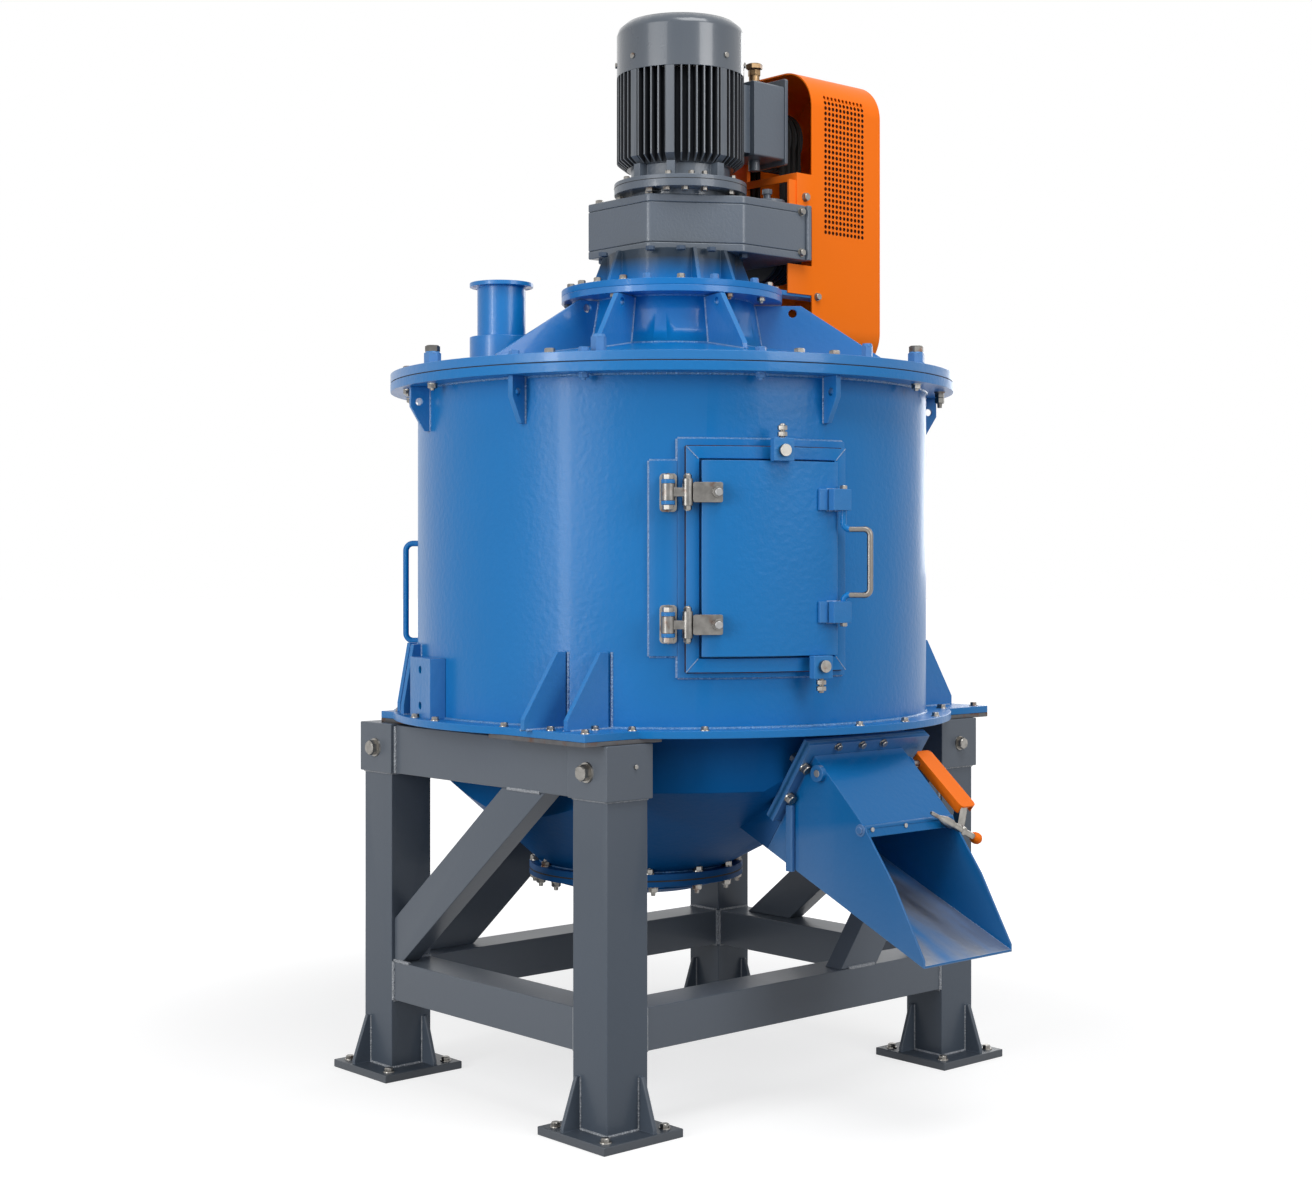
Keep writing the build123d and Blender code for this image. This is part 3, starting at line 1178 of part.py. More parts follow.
with BuildPart() as lock_knob:
    knob_plane = rod_plane.offset(YOKE_T + LOCK_ROD_AHEAD)
    with BuildSketch(Plane(origin=knob_plane.origin, x_dir=knob_plane.x_dir, z_dir=-knob_plane.y_dir)):
        with BuildLine():
            Polyline((0, 0), *KNOB_STEPS, (0, 2 * LOCK_KNOB_R), close=True)
        make_face()
    revolve(axis=Axis(knob_plane.origin, knob_plane.z_dir))
save(lock_knob, "lock_knob")

# Lid: flange ring, shallow cone, pedestal and its flange, welded together and open below
LID_SKIRT_R = DRUM_R - 2
LID_BORE_R = DRUM_BORE - 40
with BuildPart() as lid_gasket:
    with BuildSketch(Plane.XY.offset(DRUM_TOP)):
        Circle(TOP_FLANGE_R - GASKET_T)
        Circle(DRUM_BORE, mode=Mode.SUBTRACT)
    extrude(amount=GASKET_T)

INLET_X = INLET_RADIUS * math.cos(math.radians(INLET_ANGLE))
INLET_Y = INLET_RADIUS * math.sin(math.radians(INLET_ANGLE))
LID_SLOPE = LID_RISE / (LID_SKIRT_R - PEDESTAL_LOW_R)
LID_SECTIONS = (
    (
        (TOP_FLANGE_R, LID_BOTTOM),
        (TOP_FLANGE_R, LID_TOP),
        (LID_BORE_R, LID_TOP),
        (LID_BORE_R, LID_BOTTOM),
    ),
    (
        (LID_SKIRT_R, LID_TOP),
        (PEDESTAL_LOW_R, PEDESTAL_BOTTOM),
        (PEDESTAL_LOW_R - LID_WALL, PEDESTAL_BOTTOM),
        (PEDESTAL_LOW_R - LID_WALL, PEDESTAL_BOTTOM - LID_WALL),
        (LID_SKIRT_R - LID_WALL / LID_SLOPE, LID_TOP),
    ),
    (
        (PEDESTAL_LOW_R, PEDESTAL_BOTTOM),
        (PEDESTAL_TOP_R, PEDESTAL_TOP),
        (PEDESTAL_TOP_R - LID_WALL, PEDESTAL_TOP),
        (PEDESTAL_LOW_R - LID_WALL, PEDESTAL_BOTTOM),
    ),
    (
        (PEDESTAL_FLANGE_R, PEDESTAL_TOP),
        (PEDESTAL_FLANGE_R, PEDESTAL_TOP + PEDESTAL_PLATE_T),
        (BEARING_R + SEAT_GAP, PEDESTAL_TOP + PEDESTAL_PLATE_T),
        (BEARING_R + SEAT_GAP, PEDESTAL_TOP),
    ),
)
lid_parts = []
for section in LID_SECTIONS:
    with BuildPart() as lid_part:
        with BuildSketch(Plane.XZ):
            with BuildLine():
                Polyline(*section, close=True)
            make_face()
        revolve()
        with BuildSketch(Plane.XY.offset(LID_BOTTOM)):
            with Locations((INLET_X, INLET_Y)):
                Circle(INLET_R - INLET_WALL)
        extrude(amount=LID_RISE + FLANGE_T, mode=Mode.SUBTRACT)
    lid_parts.append(lid_part)
save_group("lid", *lid_parts)

# Six radial gussets between pedestal and lid, each with a lifting hole near its top corner
LID_GUSSET_T = 12
LID_GUSSET_H = 108
# angle, reach of the foot, radius of the lifting hole from the axis
LID_GUSSETS = (
    (-41.7, 538, 287),
    (-107.7, 392, 257),
    (-159.2, 372, 257),
    (166.3, 455, 226),
    (105, 392, 240),
    (35, 392, 240),
)
LIFT_HOLE_R = 10
LIFT_HOLE_DROP = 21
LIFT_HOLE_EDGE = 20
with BuildPart() as lid_gussets:
    for angle, reach, hole_r in LID_GUSSETS:
        foot_z = LID_TOP + (LID_SKIRT_R - reach) * LID_SLOPE + SEAT_GAP
        inner_z = PEDESTAL_BOTTOM + SEAT_GAP
        lean = (PEDESTAL_LOW_R - PEDESTAL_TOP_R) / PEDESTAL_H
        top_r = PEDESTAL_LOW_R - LID_GUSSET_H * lean + SEAT_GAP
        with BuildSketch(radial_plane(angle)):
            with BuildLine():
                Polyline(
                    (PEDESTAL_LOW_R + SEAT_GAP, inner_z),
                    (reach, foot_z),
                    (reach, foot_z + LID_GUSSET_T),
                    (hole_r + LIFT_HOLE_EDGE, PEDESTAL_BOTTOM + LID_GUSSET_H),
                    (top_r, PEDESTAL_BOTTOM + LID_GUSSET_H),
                    close=True,
                )
            make_face()
            with Locations((hole_r, PEDESTAL_TOP - LIFT_HOLE_DROP)):
                Circle(LIFT_HOLE_R, mode=Mode.SUBTRACT)
        extrude(amount=LID_GUSSET_T / 2, both=True)
save(lid_gussets, "lid_gussets")

# Charging inlet: flanged pipe on the lid's slope, with a collar at its foot
INLET_CENTRE = Plane(origin=(INLET_X, INLET_Y, LID_TOP))
with BuildPart() as inlet:
    with BuildSketch(INLET_CENTRE):
        Circle(INLET_COLLAR_R)
    extrude(amount=INLET_COLLAR_TOP - LID_TOP)
    with BuildSketch(INLET_CENTRE):
        Circle(INLET_R)
    extrude(amount=INLET_TOP - LID_TOP)
    with BuildSketch(INLET_CENTRE.offset(INLET_TOP - LID_TOP)):
        Circle(INLET_COLLAR_R)
        with PolarLocations(INLET_PCD / 2, 8, start_angle=22.5):
            Circle(5, mode=Mode.SUBTRACT)
    extrude(amount=-INLET_FLANGE_T)
    with BuildSketch(INLET_CENTRE):
        Circle(INLET_R - INLET_WALL)
    extrude(amount=INLET_TOP - LID_TOP, mode=Mode.SUBTRACT)
    with BuildSketch(Plane.XZ):
        with BuildLine():
            Polyline(
                (0, LID_TOP - 1),
                (LID_SKIRT_R, LID_TOP - 1),
                (LID_SKIRT_R, LID_TOP + SEAT_GAP),
                (PEDESTAL_LOW_R, PEDESTAL_BOTTOM + SEAT_GAP),
                (0, PEDESTAL_BOTTOM + SEAT_GAP),
                close=True,
            )
        make_face()
    revolve(mode=Mode.SUBTRACT)
save(inlet, "inlet_pipe")

# Bearing housing in the pedestal, and the shaft seal under it
BEARING_LENGTH = 150
BEARING_LIP_R = 130
BEARING_LIP_T = 16
with BuildPart() as bearing:
    with BuildSketch(Plane.XY.offset(NECK_BOTTOM)):
        Circle(BEARING_LIP_R)
    extrude(amount=BEARING_LIP_T)
    with BuildSketch(Plane.XY.offset(NECK_BOTTOM)):
        Circle(BEARING_R)
    extrude(amount=-BEARING_LENGTH)
    with BuildSketch(Plane.XY.offset(NECK_BOTTOM - BEARING_LENGTH)):
        Circle(SHAFT_R + RUN_FIT)
    extrude(amount=BEARING_LENGTH + BEARING_LIP_T, mode=Mode.SUBTRACT)
save(bearing, "bearing_housing")

SEAL_H = 14
with BuildPart() as shaft_seal:
    with BuildSketch(Plane.XY.offset(NECK_BOTTOM - BEARING_LENGTH)):
        Circle(SEAL_R)
        Circle(SHAFT_R + RUN_FIT, mode=Mode.SUBTRACT)
    extrude(amount=-SEAL_H)
save_group("seals", lid_gasket, outlet_gasket, shaft_seal)

# Ribbed neck that carries the gearbox
NECK_RIB_ANGLES = (138.3, 176.3, -112.7, -81.7, -41.7, -1.7, 38.3, 98.3)
NECK_RIB_T = 10
NECK_RIB_FOOT = 42
NECK_RIB_HEAD = 10
with BuildPart() as neck:
    with BuildSketch(Plane.XY.offset(PEDESTAL_TOP + PEDESTAL_PLATE_T)):
        Circle(PEDESTAL_FLANGE_R)
        Circle(BEARING_R + SEAT_GAP, mode=Mode.SUBTRACT)
    extrude(amount=PEDESTAL_PLATE_T)
    with BuildSketch(Plane.XY.offset(NECK_BOTTOM)):
        Circle(NECK_R)
    extrude(amount=NECK_H)
    for angle in NECK_RIB_ANGLES:
        with BuildSketch(radial_plane(angle)):
            with BuildLine():
                Polyline(
                    (NECK_R - NECK_WALL / 2, NECK_BOTTOM),
                    (NECK_R + NECK_RIB_FOOT, NECK_BOTTOM),
                    (NECK_R + NECK_RIB_HEAD, GEARBOX_BOTTOM),
                    (NECK_R - NECK_WALL / 2, GEARBOX_BOTTOM),
                    close=True,
                )
            make_face()
        extrude(amount=NECK_RIB_T / 2, both=True)
    with BuildSketch(Plane.XY.offset(NECK_BOTTOM)):
        Circle(NECK_R - NECK_WALL)
    extrude(amount=NECK_H, mode=Mode.SUBTRACT)
save(neck, "gearbox_neck")

# Gearbox: base plate, case and cover of one outline, with a broad corner cut to the front
GEARBOX_CUT_X = 194
GEARBOX_CUT_Y = 122
GEARBOX_EDGE_R = 22
GEARBOX_CORNER_R = 4
GEARBOX_CORNERS = (
    ((GEARBOX_LEFT, GEARBOX_HALF), GEARBOX_CORNER_R),
    ((GEARBOX_LEFT, GEARBOX_CUT_Y - GEARBOX_HALF), GEARBOX_EDGE_R),
    ((GEARBOX_LEFT + GEARBOX_CUT_X, -GEARBOX_HALF), GEARBOX_EDGE_R),
)


def gearbox_outline():
    """Plan outline of the gearbox."""
    with BuildSketch() as plan:
        with BuildLine():
            Polyline(
                (GEARBOX_LEFT, GEARBOX_HALF),
                (GEARBOX_LEFT, GEARBOX_CUT_Y - GEARBOX_HALF),
                (GEARBOX_LEFT + GEARBOX_CUT_X, -GEARBOX_HALF),
                (GEARBOX_RIGHT, -GEARBOX_HALF),
                (GEARBOX_RIGHT, GEARBOX_HALF),
                close=True,
            )
        make_face()
        for corner, radius in GEARBOX_CORNERS:
            fillet(plan.vertices().sort_by_distance((*corner, 0))[0], radius)
    return plan.sketch


GEARBOX_LAYERS = (
    (GEARBOX_BOTTOM, GEARBOX_PLATE_T),
    (GEARBOX_TOP - GEARBOX_PLATE_T, GEARBOX_PLATE_T),
    (GEARBOX_BOTTOM + GEARBOX_PLATE_T, GEARBOX_H - 2 * GEARBOX_PLATE_T),
)
gearbox_layers = []
INPUT_BORE_DEPTH = 70
COUPLING_GAP = 12
for level, height in GEARBOX_LAYERS:
    with BuildPart() as layer:
        with BuildSketch(Plane.XY.offset(level)):
            add(gearbox_outline())
        extrude(amount=height)
        with BuildSketch(Plane.XY.offset(GEARBOX_BOTTOM)):
            Circle(SHAFT_R + RUN_FIT)
        extrude(amount=SHAFT_TOP + SEAT_GAP - GEARBOX_BOTTOM, mode=Mode.SUBTRACT)
        with BuildSketch(Plane(origin=(MOTOR_X, 0, SHAFT_TOP + COUPLING_GAP - SEAT_GAP))):
            Circle(MOTOR_SHAFT_R + RUN_FIT)
        extrude(amount=GEARBOX_H, mode=Mode.SUBTRACT)
        with BuildSketch(Plane.YZ.offset(GEARBOX_RIGHT)):
            with Locations((PULLEY_Y, LOWER_PULLEY_Z)):
                Circle(DRIVE_SHAFT_R + RUN_FIT)
        extrude(amount=-INPUT_BORE_DEPTH, mode=Mode.SUBTRACT)
    gearbox_layers.append(layer)
save(gearbox_layers[-1], "gearbox_case")

# End cover at the belt side and the filler boss on top of the gearbox
END_COVER_T = 14
END_COVER_LIP = 8
with BuildPart() as end_cover:
    with BuildSketch(Plane.YZ.offset(GEARBOX_RIGHT)):
        with Locations((0, (GEARBOX_BOTTOM + GEARBOX_TOP) / 2)):
            Rectangle(2 * GEARBOX_HALF + 2 * END_COVER_LIP, GEARBOX_H)
        with Locations((PULLEY_Y, LOWER_PULLEY_Z)):
            Circle(DRIVE_SHAFT_R + RUN_FIT, mode=Mode.SUBTRACT)
    extrude(amount=END_COVER_T)
save_group("gearbox_covers", *gearbox_layers[:-1], end_cover)

BREATHER_X = 225
BREATHER_Y = -95
BREATHER_R = 43
BREATHER_STEPS = ((0, 14, BREATHER_R, 0), (14, 16, 9, 0), (30, 12, 13, 6))
with BuildPart() as breather:
    for rise, height, radius, corners in BREATHER_STEPS:
        with BuildSketch(Plane(origin=(BREATHER_X, BREATHER_Y, GEARBOX_TOP + rise))):
            if corners:
                RegularPolygon(radius, corners)
            else:
                Circle(radius)
        extrude(amount=height)
save(breather, "gearbox_breather")

# Main motor: spigot flange, lower shield, finned stator, cowl, rotor and fan
MOTOR_NECK_GAP = 10
FIN_ROOT = 3
with BuildPart() as motor_flange:
    with BuildSketch(Plane(origin=(MOTOR_X, 0, GEARBOX_TOP))):
        Circle(MOTOR_SPIGOT_R)
    extrude(amount=MOTOR_SPIGOT_H)
    with BuildSketch(Plane(origin=(MOTOR_X, 0, MOTOR_FLANGE_Z))):
        Circle(MOTOR_FLANGE_R)
    extrude(amount=MOTOR_FLANGE_T)
    with BuildSketch(Plane(origin=(MOTOR_X, 0, MOTOR_LOW_Z))):
        Circle(MOTOR_BODY_R - MOTOR_NECK_GAP)
    extrude(amount=MOTOR_LOW_H)
    # lugs that carry the bolts of the motor's long ribs
    for angle in BOLT_RIB_ANGLES:
        turn = math.radians(angle)
        with BuildSketch(Plane(
            origin=(MOTOR_X, 0, MOTOR_LOW_Z), x_dir=(math.cos(turn), math.sin(turn), 0), z_dir=(0, 0, 1)
        )):
            with Locations((MOTOR_BODY_R - 2 * MOTOR_NECK_GAP, 0)):
                Rectangle(
                    MOTOR_FIN_R - MOTOR_BODY_R + MOTOR_NECK_GAP,
                    BOLT_RIB_W,
                    align=(Align.MIN, Align.CENTER),
                )
        extrude(amount=MOTOR_LOW_H)
    with BuildSketch(Plane(origin=(MOTOR_X, 0, GEARBOX_TOP))):
        Circle(MOTOR_SHAFT_R + RUN_FIT)
    extrude(amount=MOTOR_BODY_Z - GEARBOX_TOP, mode=Mode.SUBTRACT)
save(motor_flange, "motor_flange")

STATOR_GAP = 0.5
FIN_LENGTH = MOTOR_FIN_R - MOTOR_BODY_R + FIN_ROOT
with BuildPart() as stator:
    with BuildSketch(Plane(origin=(MOTOR_X, 0, MOTOR_BODY_Z))):
        Circle(MOTOR_BODY_R)
        with PolarLocations(MOTOR_FIN_R - FIN_LENGTH / 2, FIN_COUNT):
            Rectangle(FIN_LENGTH, FIN_T)
        for angle in BOLT_RIB_ANGLES:
            with PolarLocations(MOTOR_FIN_R - FIN_LENGTH / 2, 1, start_angle=angle):
                Rectangle(FIN_LENGTH, BOLT_RIB_W)
        Circle(ROTOR_CORE_R + STATOR_GAP, mode=Mode.SUBTRACT)
    extrude(amount=MOTOR_BODY_H)
    # the fins' lower ends are cut off at a slant
    with BuildSketch(Plane(origin=(MOTOR_X, 0, MOTOR_BODY_Z), x_dir=(1, 0, 0), z_dir=(0, -1, 0))):
        with BuildLine():
            Polyline(
                (MOTOR_BODY_R + FIN_ROOT, 0),
                (MOTOR_FIN_R + FIN_ROOT, FIN_BEVEL),
                (MOTOR_FIN_R + FIN_ROOT, 0),
                close=True,
            )
        make_face()
    revolve(axis=Axis((MOTOR_X, 0, 0), (0, 0, 1)), mode=Mode.SUBTRACT)
save(stator, "motor_stator")

# Fan cowl, pressed from sheet with rounded shoulders
with BuildPart() as cowl:
    with BuildSketch(Plane(origin=(MOTOR_X, 0, COWL_Z), x_dir=(1, 0, 0), z_dir=(0, -1, 0))):
        with BuildLine():
            Polyline(
                (COWL_R, 0),
                (COWL_R, COWL_H),
                *[(COWL_R - inward, COWL_H + rise) for inward, rise in COWL_SHOULDERS],
                (0, COWL_H + COWL_DOME),
                (0, COWL_H + COWL_DOME - COWL_WALL),
                *[
                    (COWL_R - inward - COWL_WALL, COWL_H + rise - COWL_WALL)
                    for inward, rise in reversed(COWL_SHOULDERS)
                ],
                (COWL_R - COWL_WALL, COWL_H - COWL_WALL / 2),
                (COWL_R - COWL_WALL, 0),
                close=True,
            )
        make_face()
    revolve(axis=Axis((MOTOR_X, 0, 0), (0, 0, 1)))
save(cowl, "motor_cowl")

FAN_Z = COWL_Z + 34
FAN_H = 46
FAN_HUB_T = 14
FAN_BLADE_T = 5
ROTOR_FOOT = SHAFT_TOP + COUPLING_GAP
with BuildPart() as motor_rotor:
    with BuildSketch(Plane(origin=(MOTOR_X, 0, ROTOR_FOOT))):
        Circle(MOTOR_SHAFT_R)
    extrude(amount=FAN_Z + FAN_H - ROTOR_FOOT)
    with BuildSketch(Plane(origin=(MOTOR_X, 0, MOTOR_BODY_Z + (MOTOR_BODY_H - ROTOR_CORE_H) / 2))):
        Circle(ROTOR_CORE_R)
    extrude(amount=ROTOR_CORE_H)

with BuildPart() as fan:
    with BuildSketch(Plane(origin=(MOTOR_X, 0, FAN_Z))):
        Circle(MOTOR_SHAFT_R + FAN_HUB_T)
        with PolarLocations((FAN_R + MOTOR_SHAFT_R) / 2, FAN_BLADES):
            Rectangle(FAN_R - MOTOR_SHAFT_R, FAN_BLADE_T)
        Circle(MOTOR_SHAFT_R + RUN_FIT, mode=Mode.SUBTRACT)
    extrude(amount=FAN_H)
save_group("motor_rotor", motor_rotor, fan)

# Terminal box on the motor's side, with its cover and cable gland
BOX_Y0 = -100
BOX_Y1 = 5
BOX_X0 = 177
BOX_X1 = 279
BOX_Z0 = MOTOR_BODY_Z + 44
BOX_Z1 = MOTOR_BODY_Z + 224
BOX_COVER_T = 10
BOX_COVER_LIP = 6
BOX_COVER_DROP = 11
BOX_COVER_RISE = 19
BOX_NECK_W = 74
BOX_MID = (BOX_Z0 + BOX_Z1) / 2
with BuildPart() as terminal_box:
    with BuildSketch(Plane.YZ.offset(BOX_X0)):
        with Locations(((BOX_Y0 + BOX_Y1) / 2, BOX_MID)):
            RectangleRounded(BOX_Y1 - BOX_Y0, BOX_Z1 - BOX_Z0, BOX_COVER_LIP)
    extrude(amount=BOX_X1 - BOX_X0)
    with BuildSketch(Plane.YZ.offset(MOTOR_BODY_R)):
        with Locations(((BOX_Y0 + BOX_Y1) / 2, (BOX_Z0 + COWL_Z) / 2)):
            Rectangle(BOX_NECK_W, COWL_Z - BOX_Z0 - 2 * BOX_COVER_LIP)
    extrude(amount=BOX_X0 - MOTOR_BODY_R)
    with BuildSketch(Plane(origin=(MOTOR_X, 0, MOTOR_BODY_Z))):
        Circle(MOTOR_FIN_R + SEAT_GAP)
    extrude(amount=MOTOR_BODY_H + COWL_H, mode=Mode.SUBTRACT)

with BuildPart() as box_cover:
    with BuildSketch(Plane.YZ.offset(BOX_X1)):
        with Locations(((BOX_Y0 + BOX_Y1) / 2, BOX_MID + (BOX_COVER_RISE - BOX_COVER_DROP) / 2)):
            RectangleRounded(
                BOX_Y1 - BOX_Y0 + BOX_COVER_LIP,
                BOX_Z1 - BOX_Z0 + BOX_COVER_DROP + BOX_COVER_RISE,
                BOX_COVER_LIP,
            )
    extrude(amount=BOX_COVER_T)
save(box_cover, "terminal_box_cover")

GLAND_R = 16
GLAND_BODY_R = 13
GLAND_STEPS = ((0, 12, GLAND_R), (12, 14, 0), (26, 14, GLAND_R))
STUB_R = 14
STUB_DROP = 26
BOX_CENTRE = ((BOX_X0 + BOX_X1) / 2, (BOX_Y0 + BOX_Y1) / 2)
with BuildPart() as gland:
    for rise, height, hexagon in GLAND_STEPS:
        with BuildSketch(Plane(origin=(*BOX_CENTRE, BOX_Z1 + rise))):
            if hexagon:
                RegularPolygon(hexagon, 6)
            else:
                Circle(GLAND_BODY_R)
        extrude(amount=height)

with BuildPart() as conduit_stub:
    with BuildSketch(Plane(origin=(*BOX_CENTRE, BOX_Z0))):
        Circle(STUB_R)
    extrude(amount=-STUB_DROP)
save_group("terminal_box", terminal_box, gland, conduit_stub)

# Belt drive: auxiliary motor, two grooved pulleys and four V-belts
GROOVE_EDGE = 8
PULLEY_W = (GROOVES - 1) * GROOVE_PITCH + GROOVE_TOP + 2 * GROOVE_EDGE
AUX_SHAFT_START = 251
INPUT_SHAFT_START = GEARBOX_RIGHT - INPUT_BORE_DEPTH + SEAT_GAP


def pulley_rim(radius):
    """Half section of a grooved rim about the X axis, as seen in X and radius."""
    points = [(0, DRIVE_SHAFT_R + RUN_FIT), (0, radius)]
    for groove in range(GROOVES):
        start = GROOVE_EDGE + groove * GROOVE_PITCH
        middle = start + GROOVE_TOP / 2
        points.append((start, radius))
        points.append((middle - GROOVE_FLOOR / 2, radius - GROOVE_DEPTH))
        points.append((middle + GROOVE_FLOOR / 2, radius - GROOVE_DEPTH))
        points.append((start + GROOVE_TOP, radius))
    points.append((PULLEY_W, radius))
    points.append((PULLEY_W, DRIVE_SHAFT_R + RUN_FIT))
    return points


for label, radius, level in (
    ("upper_pulley", UPPER_PULLEY_R, UPPER_PULLEY_Z),
    ("lower_pulley", LOWER_PULLEY_R, LOWER_PULLEY_Z),
):
    shaft_start = AUX_SHAFT_START if label == "upper_pulley" else INPUT_SHAFT_START
    with BuildPart() as drive_shaft:
        with BuildSketch(Plane.YZ.offset(shaft_start)):
            with Locations((PULLEY_Y, level)):
                Circle(DRIVE_SHAFT_R)
        extrude(amount=PULLEY_START + PULLEY_W + GROOVE_EDGE - shaft_start)
    with BuildPart() as pulley:
        with BuildSketch(Plane(origin=(PULLEY_START, PULLEY_Y, level), x_dir=(1, 0, 0), z_dir=(0, -1, 0))):
            with BuildLine():
                Polyline(*pulley_rim(radius), close=True)
            make_face()
        revolve(axis=Axis((PULLEY_START, PULLEY_Y, level), (1, 0, 0)))
    save_group(label, pulley, drive_shaft)

BELT_T = 9
BELT_SINK = BELT_T - BELT_PROUD
GROOVE_LEAN = (GROOVE_TOP - GROOVE_FLOOR) / 2 / GROOVE_DEPTH
BELT_HALF = GROOVE_TOP / 2 - GROOVE_LEAN * BELT_SINK - SEAT_GAP
with BuildPart() as belts:
    for groove in range(GROOVES):
        middle = PULLEY_START + GROOVE_EDGE + groove * GROOVE_PITCH + GROOVE_TOP / 2
        with BuildSketch(Plane.YZ.offset(middle - BELT_HALF)):
            for radius_up, radius_low, mode in (
                (UPPER_PULLEY_R + BELT_PROUD, LOWER_PULLEY_R + BELT_PROUD, Mode.ADD),
                (UPPER_PULLEY_R - BELT_SINK, LOWER_PULLEY_R - BELT_SINK, Mode.SUBTRACT),
            ):
                lean = math.asin((radius_low - radius_up) / (UPPER_PULLEY_Z - LOWER_PULLEY_Z))
                with BuildSketch(mode=Mode.PRIVATE) as loop:
                    with Locations((PULLEY_Y, UPPER_PULLEY_Z)):
                        Circle(radius_up)
                    with Locations((PULLEY_Y, LOWER_PULLEY_Z)):
                        Circle(radius_low)
                    with BuildLine():
                        Polyline(
                            (PULLEY_Y + radius_up * math.cos(lean), UPPER_PULLEY_Z + radius_up * math.sin(lean)),
                            (PULLEY_Y - radius_up * math.cos(lean), UPPER_PULLEY_Z + radius_up * math.sin(lean)),
                            (PULLEY_Y - radius_low * math.cos(lean), LOWER_PULLEY_Z + radius_low * math.sin(lean)),
                            (PULLEY_Y + radius_low * math.cos(lean), LOWER_PULLEY_Z + radius_low * math.sin(lean)),
                            close=True,
                        )
                    make_face()
                add(loop.sketch, mode=mode)
        extrude(amount=2 * BELT_HALF)
save(belts, "drive_belts")

# Auxiliary motor on the gearbox, which drives the upper pulley
AUX_CAP_T = 12
with BuildPart() as auxiliary_motor:
    with BuildSketch(Plane.YZ.offset(AUX_MOTOR_START)):
        with Locations((PULLEY_Y, UPPER_PULLEY_Z)):
            Circle(AUX_MOTOR_R - AUX_CAP_T / 2)
    extrude(amount=AUX_MOTOR_END - AUX_MOTOR_START)
    with BuildSketch(Plane.YZ.offset(AUX_MOTOR_START + AUX_CAP_T)):
        with Locations((PULLEY_Y, UPPER_PULLEY_Z)):
            Circle(AUX_MOTOR_R)
    extrude(amount=AUX_MOTOR_END - AUX_MOTOR_START - 2 * AUX_CAP_T)
    with BuildSketch(Plane.YZ.offset(AUX_SHAFT_START - SEAT_GAP)):
        with Locations((PULLEY_Y, UPPER_PULLEY_Z)):
            Circle(DRIVE_SHAFT_R + RUN_FIT)
    extrude(amount=AUX_MOTOR_END - AUX_SHAFT_START + SEAT_GAP, mode=Mode.SUBTRACT)
save(auxiliary_motor, "auxiliary_motor")

# Belt guard: one bent sheet, closed at its far end, open below and towards the gearbox
GUARD_TAB_T = 4
GUARD_HIGH_TAB = (272, GEARBOX_TOP + 3, GEARBOX_TOP + 82)
GUARD_LOW_TAB = (241, NECK_BOTTOM + 6, GEARBOX_BOTTOM - 8)
GUARD_SHELF_W = 170
GUARD_SHELF_LIP = 18
with BuildPart() as guard:
    for inset, start, mode in ((0, GUARD_LEFT, Mode.ADD), (GUARD_T, GUARD_LEFT, Mode.SUBTRACT)):
        with BuildSketch(Plane.YZ.offset(start)) as guard_face:
            with Locations((0, GUARD_TOP - inset)):
                Rectangle(
                    2 * (GUARD_HALF - inset), GUARD_TOP - GUARD_BOTTOM, align=(Align.CENTER, Align.MAX)
                )
            fillet(guard_face.vertices().group_by(Axis.Z)[-1], GUARD_CORNER_R - inset)
        extrude(amount=GUARD_RIGHT - GUARD_LEFT - inset, mode=mode)
    for tab_start, tab_low, tab_high in (GUARD_HIGH_TAB, GUARD_LOW_TAB):
        with BuildSketch(Plane.XZ.offset(GUARD_HALF - GUARD_T)):
            with Locations(((tab_start + GUARD_LEFT) / 2, (tab_low + tab_high) / 2)):
                Rectangle(GUARD_LEFT - tab_start, tab_high - tab_low)
        extrude(amount=GUARD_T)
    with BuildSketch(Plane.XY.offset(GUARD_HIGH_TAB[2] - GUARD_T)):
        with Locations(((GUARD_HIGH_TAB[0] + GUARD_LEFT) / 2, GUARD_T - GUARD_HALF)):
            Rectangle(GUARD_LEFT - GUARD_HIGH_TAB[0], GUARD_SHELF_W, align=(Align.CENTER, Align.MIN))
    extrude(amount=GUARD_T)
    with BuildSketch(Plane.YZ.offset(GUARD_HIGH_TAB[0])):
        with Locations((-GUARD_HALF, GUARD_HIGH_TAB[2])):
            Rectangle(GUARD_SHELF_W + GUARD_T, GUARD_SHELF_LIP, align=(Align.MIN, Align.MAX))
    extrude(amount=GUARD_T)
save(guard, "belt_guard")

